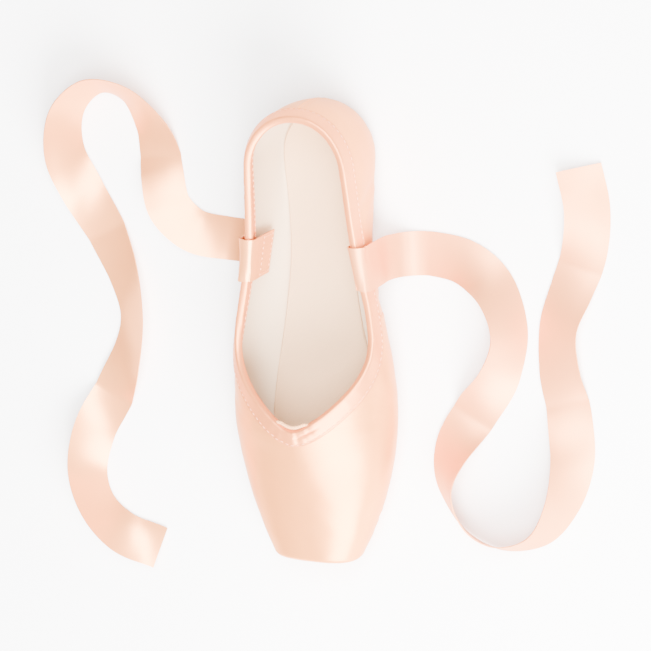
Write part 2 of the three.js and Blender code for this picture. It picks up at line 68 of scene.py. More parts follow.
def plain_material(name, colour, roughness):
    material = bpy.data.materials.new(name)
    material.use_nodes = True
    shader = material.node_tree.nodes["Principled BSDF"]
    set_inputs(shader, {"Base Color": (*colour, 1), "Roughness": roughness})
    return material


def link_nodes(tree, *pairs):
    for source, target in pairs:
        tree.links.new(source, target)


floor_mesh = bpy.data.meshes.new("floor")
floor_sides = ((-1, -1), (1, -1), (1, 1), (-1, 1))
floor_corners = [(x * FLOOR_REACH, y * FLOOR_REACH, 0) for x, y in floor_sides]
floor_mesh.from_pydata(floor_corners, [], [(0, 1, 2, 3)])
floor = bpy.data.objects.new("floor", floor_mesh)
bpy.context.scene.collection.objects.link(floor)
floor.data.materials.append(plain_material("pale_floor", (FLOOR_TONE, FLOOR_TONE, FLOOR_TONE), 0.8))

sky = bpy.data.worlds.new("soft_sky")
bpy.context.scene.world = sky
sky.use_nodes = True
sky_light = sky.node_tree.nodes["Background"]
sky_light.inputs["Color"].default_value = SKY_TINT
sky_new = sky.node_tree.nodes.new
sky_level = sky_new("ShaderNodeSeparateXYZ")
sky_fade = sky_new("ShaderNodeValToRGB")
sky_ramp = sky_fade.color_ramp
for place, _ in SKY_STOPS[1:-1]:
    sky_ramp.elements.new(place)
for stop, (place, level) in zip(sky_ramp.elements, SKY_STOPS):
    stop.position = place
    stop.color = (level, level, level, 1)
link_nodes(
    sky.node_tree,
    (sky_new("ShaderNodeTexCoord").outputs["Generated"], sky_level.inputs["Vector"]),
    (sky_level.outputs["Z"], sky_fade.inputs["Fac"]),
    (sky_fade.outputs["Color"], sky_light.inputs["Strength"]),
)


def light_panel(name, direction, distance, size, power, colour=(1, 1, 1)):
    """A soft rectangle of light that faces the shoe."""
    data = bpy.data.lights.new(name, "AREA")
    data.shape = "RECTANGLE"
    data.size, data.size_y = size
    data.energy = power
    data.color = colour
    panel = bpy.data.objects.new(name, data)
    bpy.context.scene.collection.objects.link(panel)
    away = Vector(direction).normalized()
    side = Vector((1, 0, 0)).cross(away).normalized()
    panel.matrix_world = Matrix((side.cross(away), side, away)).transposed().to_4x4()
    panel.location = away * distance


light_panel("key_panel", (0.66, 0.47, 0.58), distance=1.2, size=(1.2, 0.85), power=165)
light_panel("top_panel", (-0.2, 0.25, 1.0), distance=1.5, size=(1.4, 0.7), power=140)
light_panel("fill_panel", (0.1, -0.9, 0.35), distance=1.6, size=(1.4, 0.6), power=3, colour=FILL_TINT)

view_away = Vector(
    (
        -math.sin(VIEW_TILT),
        math.cos(VIEW_TILT) * math.sin(VIEW_TURN),
        math.cos(VIEW_TILT) * math.cos(VIEW_TURN),
    )
)
view_right = Vector((-1, 0, 0)).cross(view_away).normalized()
view_up = view_away.cross(view_right)
camera_data = bpy.data.cameras.new("camera")
camera_data.lens = VIEW_LENS
camera = bpy.data.objects.new("camera", camera_data)
bpy.context.scene.collection.objects.link(camera)
camera.matrix_world = Matrix((view_right, view_up, view_away)).transposed().to_4x4()
camera.location = VIEW_CENTRE + view_away * VIEW_DISTANCE
bpy.context.scene.camera = camera

# Ribbons: two soft satin ribbons, 22 mm wide and half a metre long, each sewn inside a quarter.
# They come out over the collar and lie on the floor in loose waves, on edge where they turn.
RIBBON_WIDTH = 0.022
RIBBON_THICK = 0.00035
RIBBON_STEPS = 14
RIBBON_ACROSS = 10
RIBBON_RIPPLE = 0.00035
RIPPLE_FINE = 0.0085
RIPPLE_SLOW = 0.023
RIBBON_CUP = 0.0005
CUP_LENGTH = 0.06
CUP_MEAN = 0.4
SELVEDGE_SHARE = 0.08
# The leg of the route on which the ribbon reaches the floor, and how soon it lies flat on it
RIBBON_LANDS = 9
RIBBON_SETTLES = 0.015
# Length held straight by the stitches and its own weight, and the length over which it goes limp
RIBBON_HELD = 0.085
RIBBON_LOOSENS = 0.05
# Where each ribbon's ripples start
RIPPLE_STARTS = {"ribbon_left": 0.4, "ribbon_right": 2.1}
# Each row is the ribbon's middle in x, y, z, and the turn and bank of its width in degrees. Both
# ribbons come out of the shoe in the same way, one on each side, and then lie as they fell.
RIBBON_START = [
    (-0.038, 0.025, 0.016, 8, -11),
    (-0.038, 0.0252, 0.027, 8, -11),
    (-0.038, 0.0252, 0.0365, 8, -11),
    (-0.038, 0.0261, 0.0408, 8, -11),
    (-0.038, 0.0288, 0.0418, 8, -11),
    (-0.038, 0.0317, 0.0406, 8, -11),
    (-0.038, 0.0329, 0.0365, 8, -11),
    (-0.038, 0.0334, 0.026, 8, -8),
    (-0.038, 0.0344, 0.011, 6, -4),
    (-0.0385, 0.041, 0.0026, 3, 0),
    (-0.039, 0.054, 0.0004, 0, 0),
]
RIBBON_REST = {
    "ribbon_left": [
        (-0.036, 0.072, 0.0032, -15, 15),
        (-0.024, 0.088, 0.0082, -50, 45),
        (-0.004, 0.095, 0.0094, -85, 55),
        (0.018, 0.09, 0.0075, -115, 40),
        (0.038, 0.077, 0.0014, -125, 5),
        (0.058, 0.066, 0.0059, -110, -30),
        (0.078, 0.064, 0.0099, -85, -60),
        (0.096, 0.074, 0.0106, -45, -68),
        (0.104, 0.092, 0.0107, -5, -70),
        (0.098, 0.111, 0.0104, 35, -65),
        (0.08, 0.123, 0.0088, 70, -50),
        (0.058, 0.127, 0.0059, 90, -30),
        (0.036, 0.124, 0.0014, 102, -5),
        (0.014, 0.119, 0.0032, 100, 15),
        (-0.008, 0.118, 0.005, 85, 25),
        (-0.028, 0.124, 0.0023, 68, 10),
        (-0.048, 0.13, 0.0027, 78, -12),
        (-0.068, 0.131, 0.0045, 96, -22),
        (-0.087, 0.126, 0.0023, 106, -10),
    ],
    "ribbon_right": [
        (-0.042, -0.071, 0.0031, -14, 14),
        (-0.054, -0.084, 0.0056, -55, 28),
        (-0.073, -0.089, 0.0019, -82, 8),
        (-0.093, -0.093, 0.0052, -68, -26),
        (-0.109, -0.104, 0.0094, -32, -55),
        (-0.113, -0.122, 0.0106, 12, -68),
        (-0.101, -0.136, 0.0103, 60, -64),
        (-0.078, -0.139, 0.0086, 95, -48),
        (-0.058, -0.131, 0.0042, 115, -20),
        (-0.038, -0.12, 0.0004, 118, 0),
        (-0.018, -0.11, 0.0045, 112, 22),
        (0.004, -0.104, 0.0075, 93, 40),
        (0.026, -0.108, 0.0059, 70, 30),
        (0.046, -0.117, 0.0004, 63, 0),
        (0.066, -0.127, 0.005, 72, -25),
        (0.087, -0.13, 0.0088, 95, -50),
        (0.106, -0.124, 0.0101, 122, -62),
        (0.12, -0.11, 0.0075, 145, -40),
        (0.127, -0.092, 0.0023, 165, -10),
    ],
}


def satin_material(name, colour, shade, roughness):
    """Satin: long smooth threads in cloth coordinates, with soft changes of tone and gloss."""
    material = plain_material(name, colour, roughness)
    tree = material.node_tree
    new = tree.nodes.new
    shader = tree.nodes["Principled BSDF"]
    set_inputs(
        shader,
        {"Metallic": 0.5, "Specular IOR Level": 0.2, "Specular Tint": (0.78, 0.5, 0.36, 1)},
    )
    place = new("ShaderNodeTexCoord").outputs["UV"]
    soft = new("ShaderNodeTexNoise")
    set_inputs(soft, {"Scale": 45, "Detail": 3})
    tone = new("ShaderNodeMix")
    tone.data_type = "RGBA"
    set_inputs(tone, {"A": (*colour, 1), "B": (*shade, 1)})
    tone_range = new("ShaderNodeMapRange")
    set_inputs(tone_range, {"From Min": 0.35, "From Max": 0.75, "To Max": 0.4})
    gloss_range = new("ShaderNodeMapRange")
    set_inputs(gloss_range, {"To Min": roughness - 0.05, "To Max": roughness + 0.05})
    stretch = new("ShaderNodeMapping")
    set_inputs(stretch, {"Scale": (110, 3200, 1)})
    threads = new("ShaderNodeTexNoise")
    set_inputs(threads, {"Scale": 1, "Detail": 2})
    weave = new("ShaderNodeBump")
    set_inputs(weave, {"Strength": 0.1, "Distance": 0.0001})
    link_nodes(
        tree,
        (place, soft.inputs["Vector"]),
        (soft.outputs["Fac"], tone_range.inputs["Value"]),
        (tone_range.outputs["Result"], tone.inputs["Factor"]),
        (tone.outputs["Result"], shader.inputs["Base Color"]),
        (soft.outputs["Fac"], gloss_range.inputs["Value"]),
        (gloss_range.outputs["Result"], shader.inputs["Roughness"]),
        (place, stretch.inputs["Vector"]),
        (stretch.outputs["Vector"], threads.inputs["Vector"]),
        (threads.outputs["Fac"], weave.inputs["Height"]),
        (weave.outputs["Normal"], shader.inputs["Normal"]),
    )
    return material


def centripetal(points, steps):
    """Smooth line through points, the way a limp band follows the places where it is held."""
    points = [np.array(p, float) for p in points]
    ends = [2 * points[0] - points[1], *points, 2 * points[-1] - points[-2]]
    line = []
    for i in range(len(points) - 1):
        a, b, c, d = ends[i : i + 4]
        gaps = [np.linalg.norm(q - p) ** 0.5 for p, q in ((a, b), (b, c), (c, d))]
        before, span, after = np.maximum(gaps, 1e-5)
        leave = ((b - a) / before - (c - a) / (before + span) + (c - b) / span) * span
        reach = ((c - b) / span - (d - b) / (span + after) + (d - c) / after) * span
        for k in range(steps + (i == len(points) - 2)):
            t = k / steps
            line.append(
                (2 * t**3 - 3 * t**2 + 1) * b
                + (t**3 - 2 * t**2 + t) * leave
                + (3 * t**2 - 2 * t**3) * c
                + (t**3 - t**2) * reach
            )
    return np.array(line)


def unit(vectors):
    return vectors / np.maximum(np.linalg.norm(vectors, axis=-1, keepdims=True), 1e-12)


# Points of a piece that lie closer than this become one
MERGE_GAP = 1e-6


class Cloth:
    """Faces gathered for one piece, each with its finish and the cloth coordinates of its corners."""

    def __init__(self):
        self.points = []
        self.faces = []
        self.finish = []
        self.cloth = []

    def loft(self, loops, cloth, finish, caps=False, flat_side=False):
        """Faces between loops of points. flat_side leaves out those that lie on the middle plane."""
        loops = np.asarray(loops, float)
        cloth = np.asarray(cloth, float)
        rows, around = loops.shape[:2]
        first = len(self.points)
        self.points.extend(loops.reshape(-1, 3).tolist())
        for i in range(rows - 1):
            for j in range(around):
                k = (j + 1) % around
                ring = ((i, j), (i, k), (i + 1, k), (i + 1, j))
                if flat_side and max(abs(loops[r, c, 1]) for r, c in ring) < 1e-9:
                    continue
                self.faces.append([first + r * around + c for r, c in ring])
                self.finish.append(finish[j])
                self.cloth.extend(cloth[r, c] for r, c in ring)
        for row, order in ((0, -1), (rows - 1, 1)) if caps else ():
            ring = list(range(around))[::order]
            self.faces.append([first + row * around + c for c in ring])
            self.finish.append(finish[0])
            self.cloth.extend(cloth[row, c] for c in ring)

    def made(self, name, materials, sharp=40):
        """The finished piece: one closed mesh with its faces outwards, riding on the shoe."""
        mesh = bpy.data.meshes.new(name)
        mesh.from_pydata(self.points, [], self.faces)
        mesh.polygons.foreach_set("material_index", self.finish)
        layer = mesh.uv_layers.new(name="UVMap")
        layer.data.foreach_set("uv", np.array(self.cloth, np.float32).ravel())
        shape = bmesh.new()
        shape.from_mesh(mesh)
        bmesh.ops.remove_doubles(shape, verts=shape.verts, dist=MERGE_GAP)
        bmesh.ops.dissolve_degenerate(shape, edges=shape.edges, dist=MERGE_GAP / 10)
        bmesh.ops.recalc_face_normals(shape, faces=shape.faces)
        shape.to_mesh(mesh)
        shape.free()
        mesh.shade_smooth()
        mesh.set_sharp_from_angle(angle=math.radians(sharp))
        for material in materials:
            mesh.materials.append(material)
        piece = bpy.data.objects.new(name, mesh)
        bpy.context.scene.collection.objects.link(piece)
        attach(piece, "root")
        return piece


ribbon_satin = satin_material("ribbon_satin", (0.83, 0.315, 0.108), (0.79, 0.265, 0.086), 0.3)
ribbon_back = satin_material("ribbon_back", (0.82, 0.31, 0.12), (0.77, 0.26, 0.096), 0.45)


def ribbon_piece(node):
    """One ribbon: returns its middle line, the directions across it and out of it, and lengths."""
    hand = np.sign(RIBBON_REST[node][0][1])
    route = np.concatenate([np.array(RIBBON_START) * (1, hand, 1, hand, 1), RIBBON_REST[node]])
    seed = RIPPLE_STARTS[node]
    middle = centripetal(route[:, :3], RIBBON_STEPS)
    stops = np.arange(len(route)) * RIBBON_STEPS
    angles = [np.radians(np.interp(np.arange(len(middle)), stops, route[:, k])) for k in (3, 4)]
    ease = np.ones(RIBBON_STEPS) / RIBBON_STEPS
    pad = (RIBBON_STEPS // 2, RIBBON_STEPS - 1 - RIBBON_STEPS // 2)
    turn, bank = (np.convolve(np.pad(angle, pad, "edge"), ease, "valid") for angle in angles)
    run = unit(np.gradient(middle, axis=0))
    wide = np.stack([np.cos(turn) * np.cos(bank), np.sin(turn) * np.cos(bank), np.sin(bank)], 1)
    wide = unit(wide - run * np.sum(wide * run, 1, keepdims=True))
    face = np.cross(run, wide)
    length = np.concatenate([[0], np.cumsum(np.linalg.norm(np.diff(middle, axis=0), axis=1))])
    landed = np.clip((length - length[RIBBON_LANDS * RIBBON_STEPS]) / RIBBON_SETTLES, 0, 1)
    free = np.clip((length - RIBBON_HELD) / RIBBON_LOOSENS, 0, 1)
    slack = RIBBON_THICK + free * np.abs(face[:, 2]) * (RIBBON_RIPPLE + RIBBON_CUP * (1 - CUP_MEAN))
    low = np.abs(wide[:, 2]) * RIBBON_WIDTH / 2 + slack
    middle[:, 2] = middle[:, 2] * (1 - landed) + low * landed
    middle[:, 2] = np.maximum(middle[:, 2], low)
    across = np.linspace(-1, 1, RIBBON_ACROSS + 1)
    loops = []
    for i in range(len(middle)):
        swell = math.sin(length[i] / RIPPLE_SLOW + 2 * seed)
        wave = RIBBON_RIPPLE * math.sin(length[i] / RIPPLE_FINE + seed) * swell
        cup = RIBBON_CUP * (across**2 - CUP_MEAN) * math.sin(length[i] / CUP_LENGTH + seed)
        lift = free[i] * (wave + cup)
        selvedge = RIBBON_THICK / 2 * (1 + 0.5 * np.exp(-(((1 - np.abs(across)) / SELVEDGE_SHARE) ** 2)))
        line = middle[i] + np.outer(across * RIBBON_WIDTH / 2, wide[i]) + np.outer(lift, face[i])
        top = line + np.outer(selvedge, face[i])
        back = line - np.outer(selvedge, face[i])
        loops.append(np.concatenate([top, back[::-1]]))
    widths = np.concatenate([across, across[::-1]]) * RIBBON_WIDTH / 2
    cloth = [[(a, w) for w in widths] for a in length]
    finish = [0] * len(across) + [1] * len(across)
    band = Cloth()
    band.loft(loops, cloth, finish, caps=True)
    piece = band.made(node + "_satin", [ribbon_satin, ribbon_back])
    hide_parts(node)
    return middle, wide, face, length


ribbon_lines = [ribbon_piece(node) for node in RIBBON_REST]

# Upper: satin over canvas, drawn over the last and lasted under the sole, with the vamp lapped
# over the quarters at a side seam. The box round the toes is stiffened with paste and ends in the
# flat platform, and the satin is pleated in under it. It is lined with plain cotton.
MM = 0.001
SHOE_LENGTH = 232.0
HALF_BALL = 41.5
THROAT_HEIGHT = 55.0
THROAT = 159.0
HEEL_CUP = 30.0
ARCH_RISE = 4.5
PLATFORM_EDGE = 3.5
QUARTER_WALL = 1.6
BOX_WALL = 3.0
BOX_STARTS = 0.62
BOX_FULL = 0.8
SEAM_STEP = 0.4
SIDE_SEAM = 104.0
SEAM_SLOPE = 0.3
SOLE_THICKNESS = 2.4
GAP = 0.3
SOLE_TIP = 213.0
SOLE_NOSE = 20.0
LASTING_MARGIN = 7.0
OPENING_TIP = SOLE_TIP - LASTING_MARGIN
MIDDLE = (SHOE_LENGTH + SEAM_STEP) / 2
LOWER_FULLNESS = 2.2
SECTION_POINTS = 49
STEP_ALONG = 0.4
STEP_UP = 0.012
HALVINGS = 40
# Share of the length, half width, ridge, level of the widest point, flat of the bottom, fullness
LAST_SECTIONS = [
    (0.0, 0.685, 1.27, 0.4, 0.8, 2.1),
    (0.13, 0.685, 1.27, 0.4, 0.8, 2.1),
    (0.22, 0.69, 1.26, 0.39, 0.72, 2.1),
    (0.3, 0.71, 1.24, 0.38, 0.63, 2.05),
    (0.36, 0.755, 1.21, 0.38, 0.57, 2.0),
    (0.42, 0.82, 1.17, 0.37, 0.55, 1.95),
    (0.48, 0.885, 1.14, 0.37, 0.56, 1.88),
    (0.55, 0.95, 1.09, 0.37, 0.6, 1.76),
    (0.625, 0.995, 1.04, 0.37, 0.65, 1.65),
    (0.685, 1.0, 1.0, 0.37, 0.68, 1.62),
    (0.752, 0.966, 0.89, 0.37, 0.69, 1.76),
    (0.812, 0.895, 0.8, 0.37, 0.71, 1.95),
    (0.861, 0.825, 0.73, 0.37, 0.72, 2.15),
    (0.91, 0.732, 0.665, 0.38, 0.66, 2.35),
    (0.946, 0.66, 0.618, 0.39, 0.6, 2.5),
    (1.0, 0.52, 0.56, 0.42, 0.5, 2.6),
]
# Share of the way from the heel to the throat, share of the ridge's height at the throat
COLLAR_HEIGHTS = [
    (0.0, 0.945),
    (0.126, 0.927),
    (0.283, 0.84),
    (0.472, 0.722),
    (0.629, 0.655),
    (0.7, 0.66),
    (0.76, 0.695),
    (0.81, 0.752),
    (0.865, 0.832),
    (0.918, 0.91),
    (0.972, 0.977),
    (1.0, 1.0),
]
# Share of the length, share of the arch's rise
SOLE_RISES = [
    (0.0, 0),
    (0.2, 0),
    (0.27, 0.25),
    (0.34, 0.71),
    (0.42, 1),
    (0.5, 0.71),
    (0.57, 0.25),
    (0.63, 0),
    (0.9, 0),
    (1.0, 0.2),
]
# Share of the length, reach of the sole as a share of half the ball's width
SOLE_REACHES = [
    (0.0, 0.54),
    (0.065, 0.55),
    (0.13, 0.47),
    (0.2, 0.445),
    (0.34, 0.385),
    (0.42, 0.38),
    (0.5, 0.43),
    (0.58, 0.53),
    (0.66, 0.605),
    (0.74, 0.62),
    (0.8, 0.6),
    (0.85, 0.57),
    (1.0, 0.45),
]


def smooth_column(rows, number, scale=1.0):
    """Smooth curve through one column of a table, with no overshoot between its rows."""
    at = np.array([row[0] for row in rows], float)
    value = np.array([row[number] for row in rows], float) * scale
    slope = np.diff(value) / np.diff(at)
    both = slope[:-1] * slope[1:]
    total = np.where(slope[:-1] + slope[1:] == 0, 1, slope[:-1] + slope[1:])
    tangent = np.concatenate([slope[:1], np.where(both > 0, 2 * both / total, 0), slope[-1:]])

    def curve(share):
        x = np.clip(share, at[0], at[-1])
        i = np.clip(np.searchsorted(at, x) - 1, 0, len(slope) - 1)
        span = at[i + 1] - at[i]
        t = (x - at[i]) / span
        leaving = (1 + 2 * t) * (1 - t) ** 2 * value[i] + t * (1 - t) ** 2 * span * tangent[i]
        return leaving + t * t * (3 - 2 * t) * value[i + 1] + t * t * (t - 1) * span * tangent[i + 1]

    return curve


half_of = smooth_column(LAST_SECTIONS, 1, HALF_BALL)
top_of = smooth_column(LAST_SECTIONS, 2, THROAT_HEIGHT)
widest_of = smooth_column(LAST_SECTIONS, 3)
flat_of = smooth_column(LAST_SECTIONS, 4)
full_of = smooth_column(LAST_SECTIONS, 5)
rise_of = smooth_column(SOLE_RISES, 1, ARCH_RISE)
sole_reach_of = smooth_column(SOLE_REACHES, 1, HALF_BALL)
collar_of = smooth_column(COLLAR_HEIGHTS, 1, float(top_of(THROAT / SHOE_LENGTH)))


def heel_turn(station):
    """Sections stand square to the length, and fan out round the heel."""
    return max(HEEL_CUP - station, 0) / HEEL_CUP * math.pi / 2


def placed(station, reach, level):
    """Points of a section, given their reach from the middle line and their level."""
    turn = heel_turn(station)
    reach = np.asarray(reach, float)
    x = max(station, HEEL_CUP) - math.sin(turn) * reach - MIDDLE
    y = np.zeros_like(reach) if station <= 0 else math.cos(turn) * reach
    return np.stack([x, y, np.broadcast_to(level, reach.shape)], -1)


def bottom_of(station):
    """Level of the last's underside, which the sole carries."""
    return float(rise_of(station / SHOE_LENGTH)) + SOLE_THICKNESS + GAP


section_store = {}


def section(station):
    """Half a section of the last: reaches, levels, lengths along it, and the flat of its bottom."""
    key = round(station, 5)
    if key in section_store:
        return section_store[key]
    share = station / SHOE_LENGTH
    turn = heel_turn(station)
    side = float(half_of(max(station, HEEL_CUP) / SHOE_LENGTH))
    half = 1 / math.hypot(math.sin(turn) / HEEL_CUP, math.cos(turn) / side)
    bottom = bottom_of(station)
    top = float(top_of(share))
    widest = bottom + float(widest_of(share)) * (top - bottom)
    flat = float(flat_of(share)) * half
    full = float(full_of(share))
    t = np.linspace(0, math.pi / 2, SECTION_POINTS)
    low_reach = flat + (half - flat) * np.sin(t) ** (2 / LOWER_FULLNESS)
    low_level = widest - (widest - bottom) * np.cos(t) ** (2 / LOWER_FULLNESS)
    high_reach = half * np.maximum(np.cos(t[1:]), 0) ** (2 / full)
    high_reach[-1] = 0
    high_level = widest + (top - widest) * np.sin(t[1:]) ** (2 / full)
    reach = np.concatenate([[0], low_reach, high_reach])
    level = np.concatenate([[bottom], low_level, high_level])
    lengths = np.concatenate([[0], np.cumsum(np.hypot(np.diff(reach), np.diff(level)))])
    section_store[key] = reach, level, lengths, flat
    return section_store[key]


def skin(station, shares):
    """Points of the last at one station, by share of its girth from the bottom to the ridge."""
    shares = np.atleast_1d(np.asarray(shares, float))
    side = np.where((shares > 1) | (shares < 0), -1.0, 1.0) * (-1 if station < 0 else 1)
    shares = np.where(shares > 1, 2 - shares, np.abs(shares))
    reach, level, lengths, _ = section(abs(station))
    along = shares * lengths[-1]
    points = placed(abs(station), np.interp(along, lengths, reach), np.interp(along, lengths, level))
    points[:, 1] *= side
    return points


def facing(station, shares):
    """Directions along the length and up the girth, and the surface's normal."""
    shares = np.atleast_1d(np.asarray(shares, float))
    ahead = min(station + STEP_ALONG, SHOE_LENGTH)
    along = (skin(ahead, shares) - skin(station - STEP_ALONG, shares)) / (ahead - station + STEP_ALONG)
    up = (skin(station, shares + STEP_UP) - skin(station, shares - STEP_UP)) / (2 * STEP_UP)
    out = np.cross(up, along)
    out[(shares <= 0) | (shares >= 1) | (station <= 0), 1] = 0
    return along, up, unit(out)


def eased(start, end, x):
    """Smooth step from 0 at start to 1 at end."""
    t = np.clip((x - start) / (end - start), 0, 1)
    return t * t * (3 - 2 * t)


def outer_depth(station):
    """How far the satin lies inside the last: the vamp laps over the quarters."""
    return SEAM_STEP * (1 - eased(SIDE_SEAM - SEAM_SLOPE, SIDE_SEAM + SEAM_SLOPE, station))


def inner_depth(station):
    """How far the lining lies inside the last: the wall is thicker in the box."""
    stiff = eased(BOX_STARTS * SHOE_LENGTH, BOX_FULL * SHOE_LENGTH, station)
    return SEAM_STEP + QUARTER_WALL + (BOX_WALL - QUARTER_WALL) * stiff


def sole_outline(station, inset):
    """Half width of the sole, or of a line inside its edge, with a round tip."""
    nose = SOLE_TIP - SOLE_NOSE
    full = float(sole_reach_of(min(station, nose) / SHOE_LENGTH)) - inset
    share = max(station - nose, 0) / (SOLE_NOSE - inset)
    return 0.0 if share >= 1 else full * math.sqrt(1 - share * share)


def collar_share(station):
    """Share of the girth at which the collar's edge runs."""
    if station >= THROAT:
        return 1.0
    height = float(collar_of(station / THROAT))
    low, high = 0.0, 1.0
    for _ in range(HALVINGS):
        half = (low + high) / 2
        if skin(station, half)[0, 2] < height:
            low = half
        else:
            high = half
    return (low + high) / 2


# Relief of the satin, in millimetres out of the surface
# Each crease: station, level, side of the shoe, slant in degrees, half length, half width, height
CREASES = [
    (97, 17, 1, 96, 15, 3.2, -0.55),
    (93, 18, 1, 98, 14, 2.6, 0.3),
    (97, 17, -1, 84, 15, 3.0, -0.5),
    (92.5, 19, -1, 82, 13, 2.6, 0.32),
    (44, 24, 1, 64, 17, 3.4, -0.42),
    (50, 20, 1, 58, 14, 3.0, 0.3),
    (40, 26, -1, 66, 16, 3.2, -0.4),
    (47, 21, -1, 60, 14, 3.0, 0.3),
    (27, 30, 1, 80, 14, 3.6, -0.3),
    (24, 28, -1, 82, 13, 3.4, -0.32),
    (70, 15, 1, 28, 18, 3.0, -0.3),
    (68, 14, -1, 30, 18, 3.0, -0.28),
    (133, 22, 1, 118, 15, 3.5, -0.2),
    (136, 20, -1, 120, 15, 3.5, -0.2),
    (150, 30, 1, 60, 14, 3.0, -0.16),
    (149, 31, -1, 58, 15, 3.0, -0.18),
]
CREASE_REACH = 30
CREASE_BOW = 0.012
# Seams, each a dip or a ridge: height, distance from the seam, half width
SIDE_SEAM_DIP = (-0.3, 0, 0.5)
SIDE_SEAM_RIDGE = (0.16, 1.5, 1.1)
BACK_SEAM_DIP = (-0.36, 0, 0.45)
BACK_SEAM_RIDGE = (0.24, 1.3, 0.7)
# Near the back seam each station is this far round the heel
BACK_SPREAD = 1.5
# Heights of the waves beside the side seam, over the lasted edge and beside the binding, and of
# the satin's own unevenness
SEAM_PUCKER = 0.1
LASTED_RIPPLE = 0.17
PULLED_GATHER = 0.13
SATIN_SOFTNESS = 0.2
# Greatest height under the binding and beyond it, and how far from the edge it grows
HELD_HEIGHT = 0.05
FREE_HEIGHT = 0.65
BINDING_ENDS = (6.0, 9.0)
# Stations over which the lasted edge smooths out, and over which the gathers grow to the throat
LASTED_FADES = (196, 206)
GATHERS_GROW = (118, 150)
# Pleats: the levels between which they die out, and their number, fan, height and sharpness
PLEAT_TOP = 17
PLEAT_FULL = 9
PLEAT_COUNT = 6
PLEAT_FAN = math.radians(78)
PLEAT_HEIGHT = 1.0
PLEAT_SHARPNESS = 1.3


def pleats(station, points):
    """Satin folded in under the toe: folds that fan out from the tip of the sole."""
    fan = np.arctan2(points[:, 1], station - (SOLE_TIP - SOLE_NOSE))
    away = np.hypot(points[:, 1], station - (SOLE_TIP - SOLE_NOSE)) - SOLE_NOSE
    low = eased(PLEAT_TOP, PLEAT_FULL, points[:, 2]) * eased(PLEAT_FAN, PLEAT_FAN * 0.75, np.abs(fan))
    count = np.abs(fan) / PLEAT_FAN * PLEAT_COUNT + 0.5 + 0.22 * np.sin(5 * fan + 1)
    lean = count - np.floor(count)
    fold = lean**PLEAT_SHARPNESS * (1 - eased(0.8, 1.0, lean)) - 0.35
    reach = eased(-1.0, 1.5, away) * (1 - 0.8 * eased(14, 19, away))
    return PLEAT_HEIGHT * fold * reach * low * eased(SOLE_TIP - 17, SOLE_TIP - 6, station)


def seam_line(shape, away):
    """Height of a seam's dip or ridge at a distance from the seam."""
    tall, place, wide = shape
    return tall * math.exp(-(((away - place) / wide) ** 2))


def creases(station, side, level):
    """Soft creases in the quarters and the vamp, each bowed a little along its length."""
    height = np.zeros(len(level))
    for at, up, hand, slant, long, wide, tall in CREASES:
        if abs(station - at) > CREASE_REACH:
            continue
        turn = math.radians(slant)
        run, rise = station - at, level - up
        along = run * math.cos(turn) + rise * math.sin(turn)
        across = rise * math.cos(turn) - run * math.sin(turn) + CREASE_BOW * along**2
        height += (side == hand) * tall * np.exp(-((along / long) ** 4) - (across / wide) ** 2)
    return height


def relief(station, girth, points, edge):
    """Height of the satin over the last along one station: seams, folds, gathers and pleats.

    In a wave, the number that divides a place is the wave's length over two pi.
    """
    level = points[:, 2]
    height = creases(station, np.sign(points[:, 1]), level)
    seam = station - SIDE_SEAM
    height += seam_line(SIDE_SEAM_DIP, seam)
    height += seam_line(SIDE_SEAM_RIDGE, seam)
    height += SEAM_PUCKER * math.exp(-abs(seam) / 5) * np.sin(girth / 1.15 + 1.5 * np.sin(girth / 7))
    back = BACK_SPREAD * station
    height += seam_line(BACK_SEAM_RIDGE, back) + seam_line(BACK_SEAM_DIP, back)
    beyond = girth - sole_outline(station, 0)
    lasted = eased(-1, 1.5, beyond) * np.exp(-np.maximum(beyond, 0) / 5.5)
    ripple = math.sin(station / 0.78) + 0.6 * math.sin(station / 1.9 + 2)
    spread = (1 - eased(*LASTED_FADES, station)) * eased(2, 10, station)
    height += LASTED_RIPPLE * lasted * ripple * spread
    height += pleats(station, points)
    pulled = eased(0.0, 2.5, edge) * np.exp(-edge / 7)
    waves = np.sin((station + 0.35 * edge) / 0.85 + 1.3 * math.sin(station / 6))
    height += PULLED_GATHER * pulled * waves * (0.35 + 0.65 * eased(*GATHERS_GROW, station))
    soft = [noise.noise(Vector(p) / 19) + 0.5 * noise.noise(Vector(p) / 8.5) for p in points]
    height += SATIN_SOFTNESS * np.array(soft) * (1 - 0.5 * eased(SHOE_LENGTH - 6, SHOE_LENGTH, station))
    # The binding holds the satin flat under it, and the sole does so under the foot
    free = HELD_HEIGHT + (FREE_HEIGHT - HELD_HEIGHT) * eased(*BINDING_ENDS, edge)
    height = np.minimum(height, free)
    under = (np.abs(points[:, 1]) < sole_outline(station, 0) + 0.5) & (level < bottom_of(station) + 1)
    return np.where(under & (station < SOLE_TIP), 0, height)


BOTTOM_ROWS = 34
SIDE_ROWS = 84
INNER_BOTTOM_ROWS = 10
INNER_SIDE_ROWS = 40
CLOSE_REACH = 22
CLOSE_STEPS = 26
LEAST_SPACING = 0.02
SETTLINGS = 6


def rows_between(shares, bottom_rows, side_rows):
    """Shares of the girth across the bottom and up the side."""
    low, corner, high = shares
    return np.concatenate(
        [np.linspace(low, corner, bottom_rows, endpoint=False), np.linspace(corner, high, side_rows)]
    )


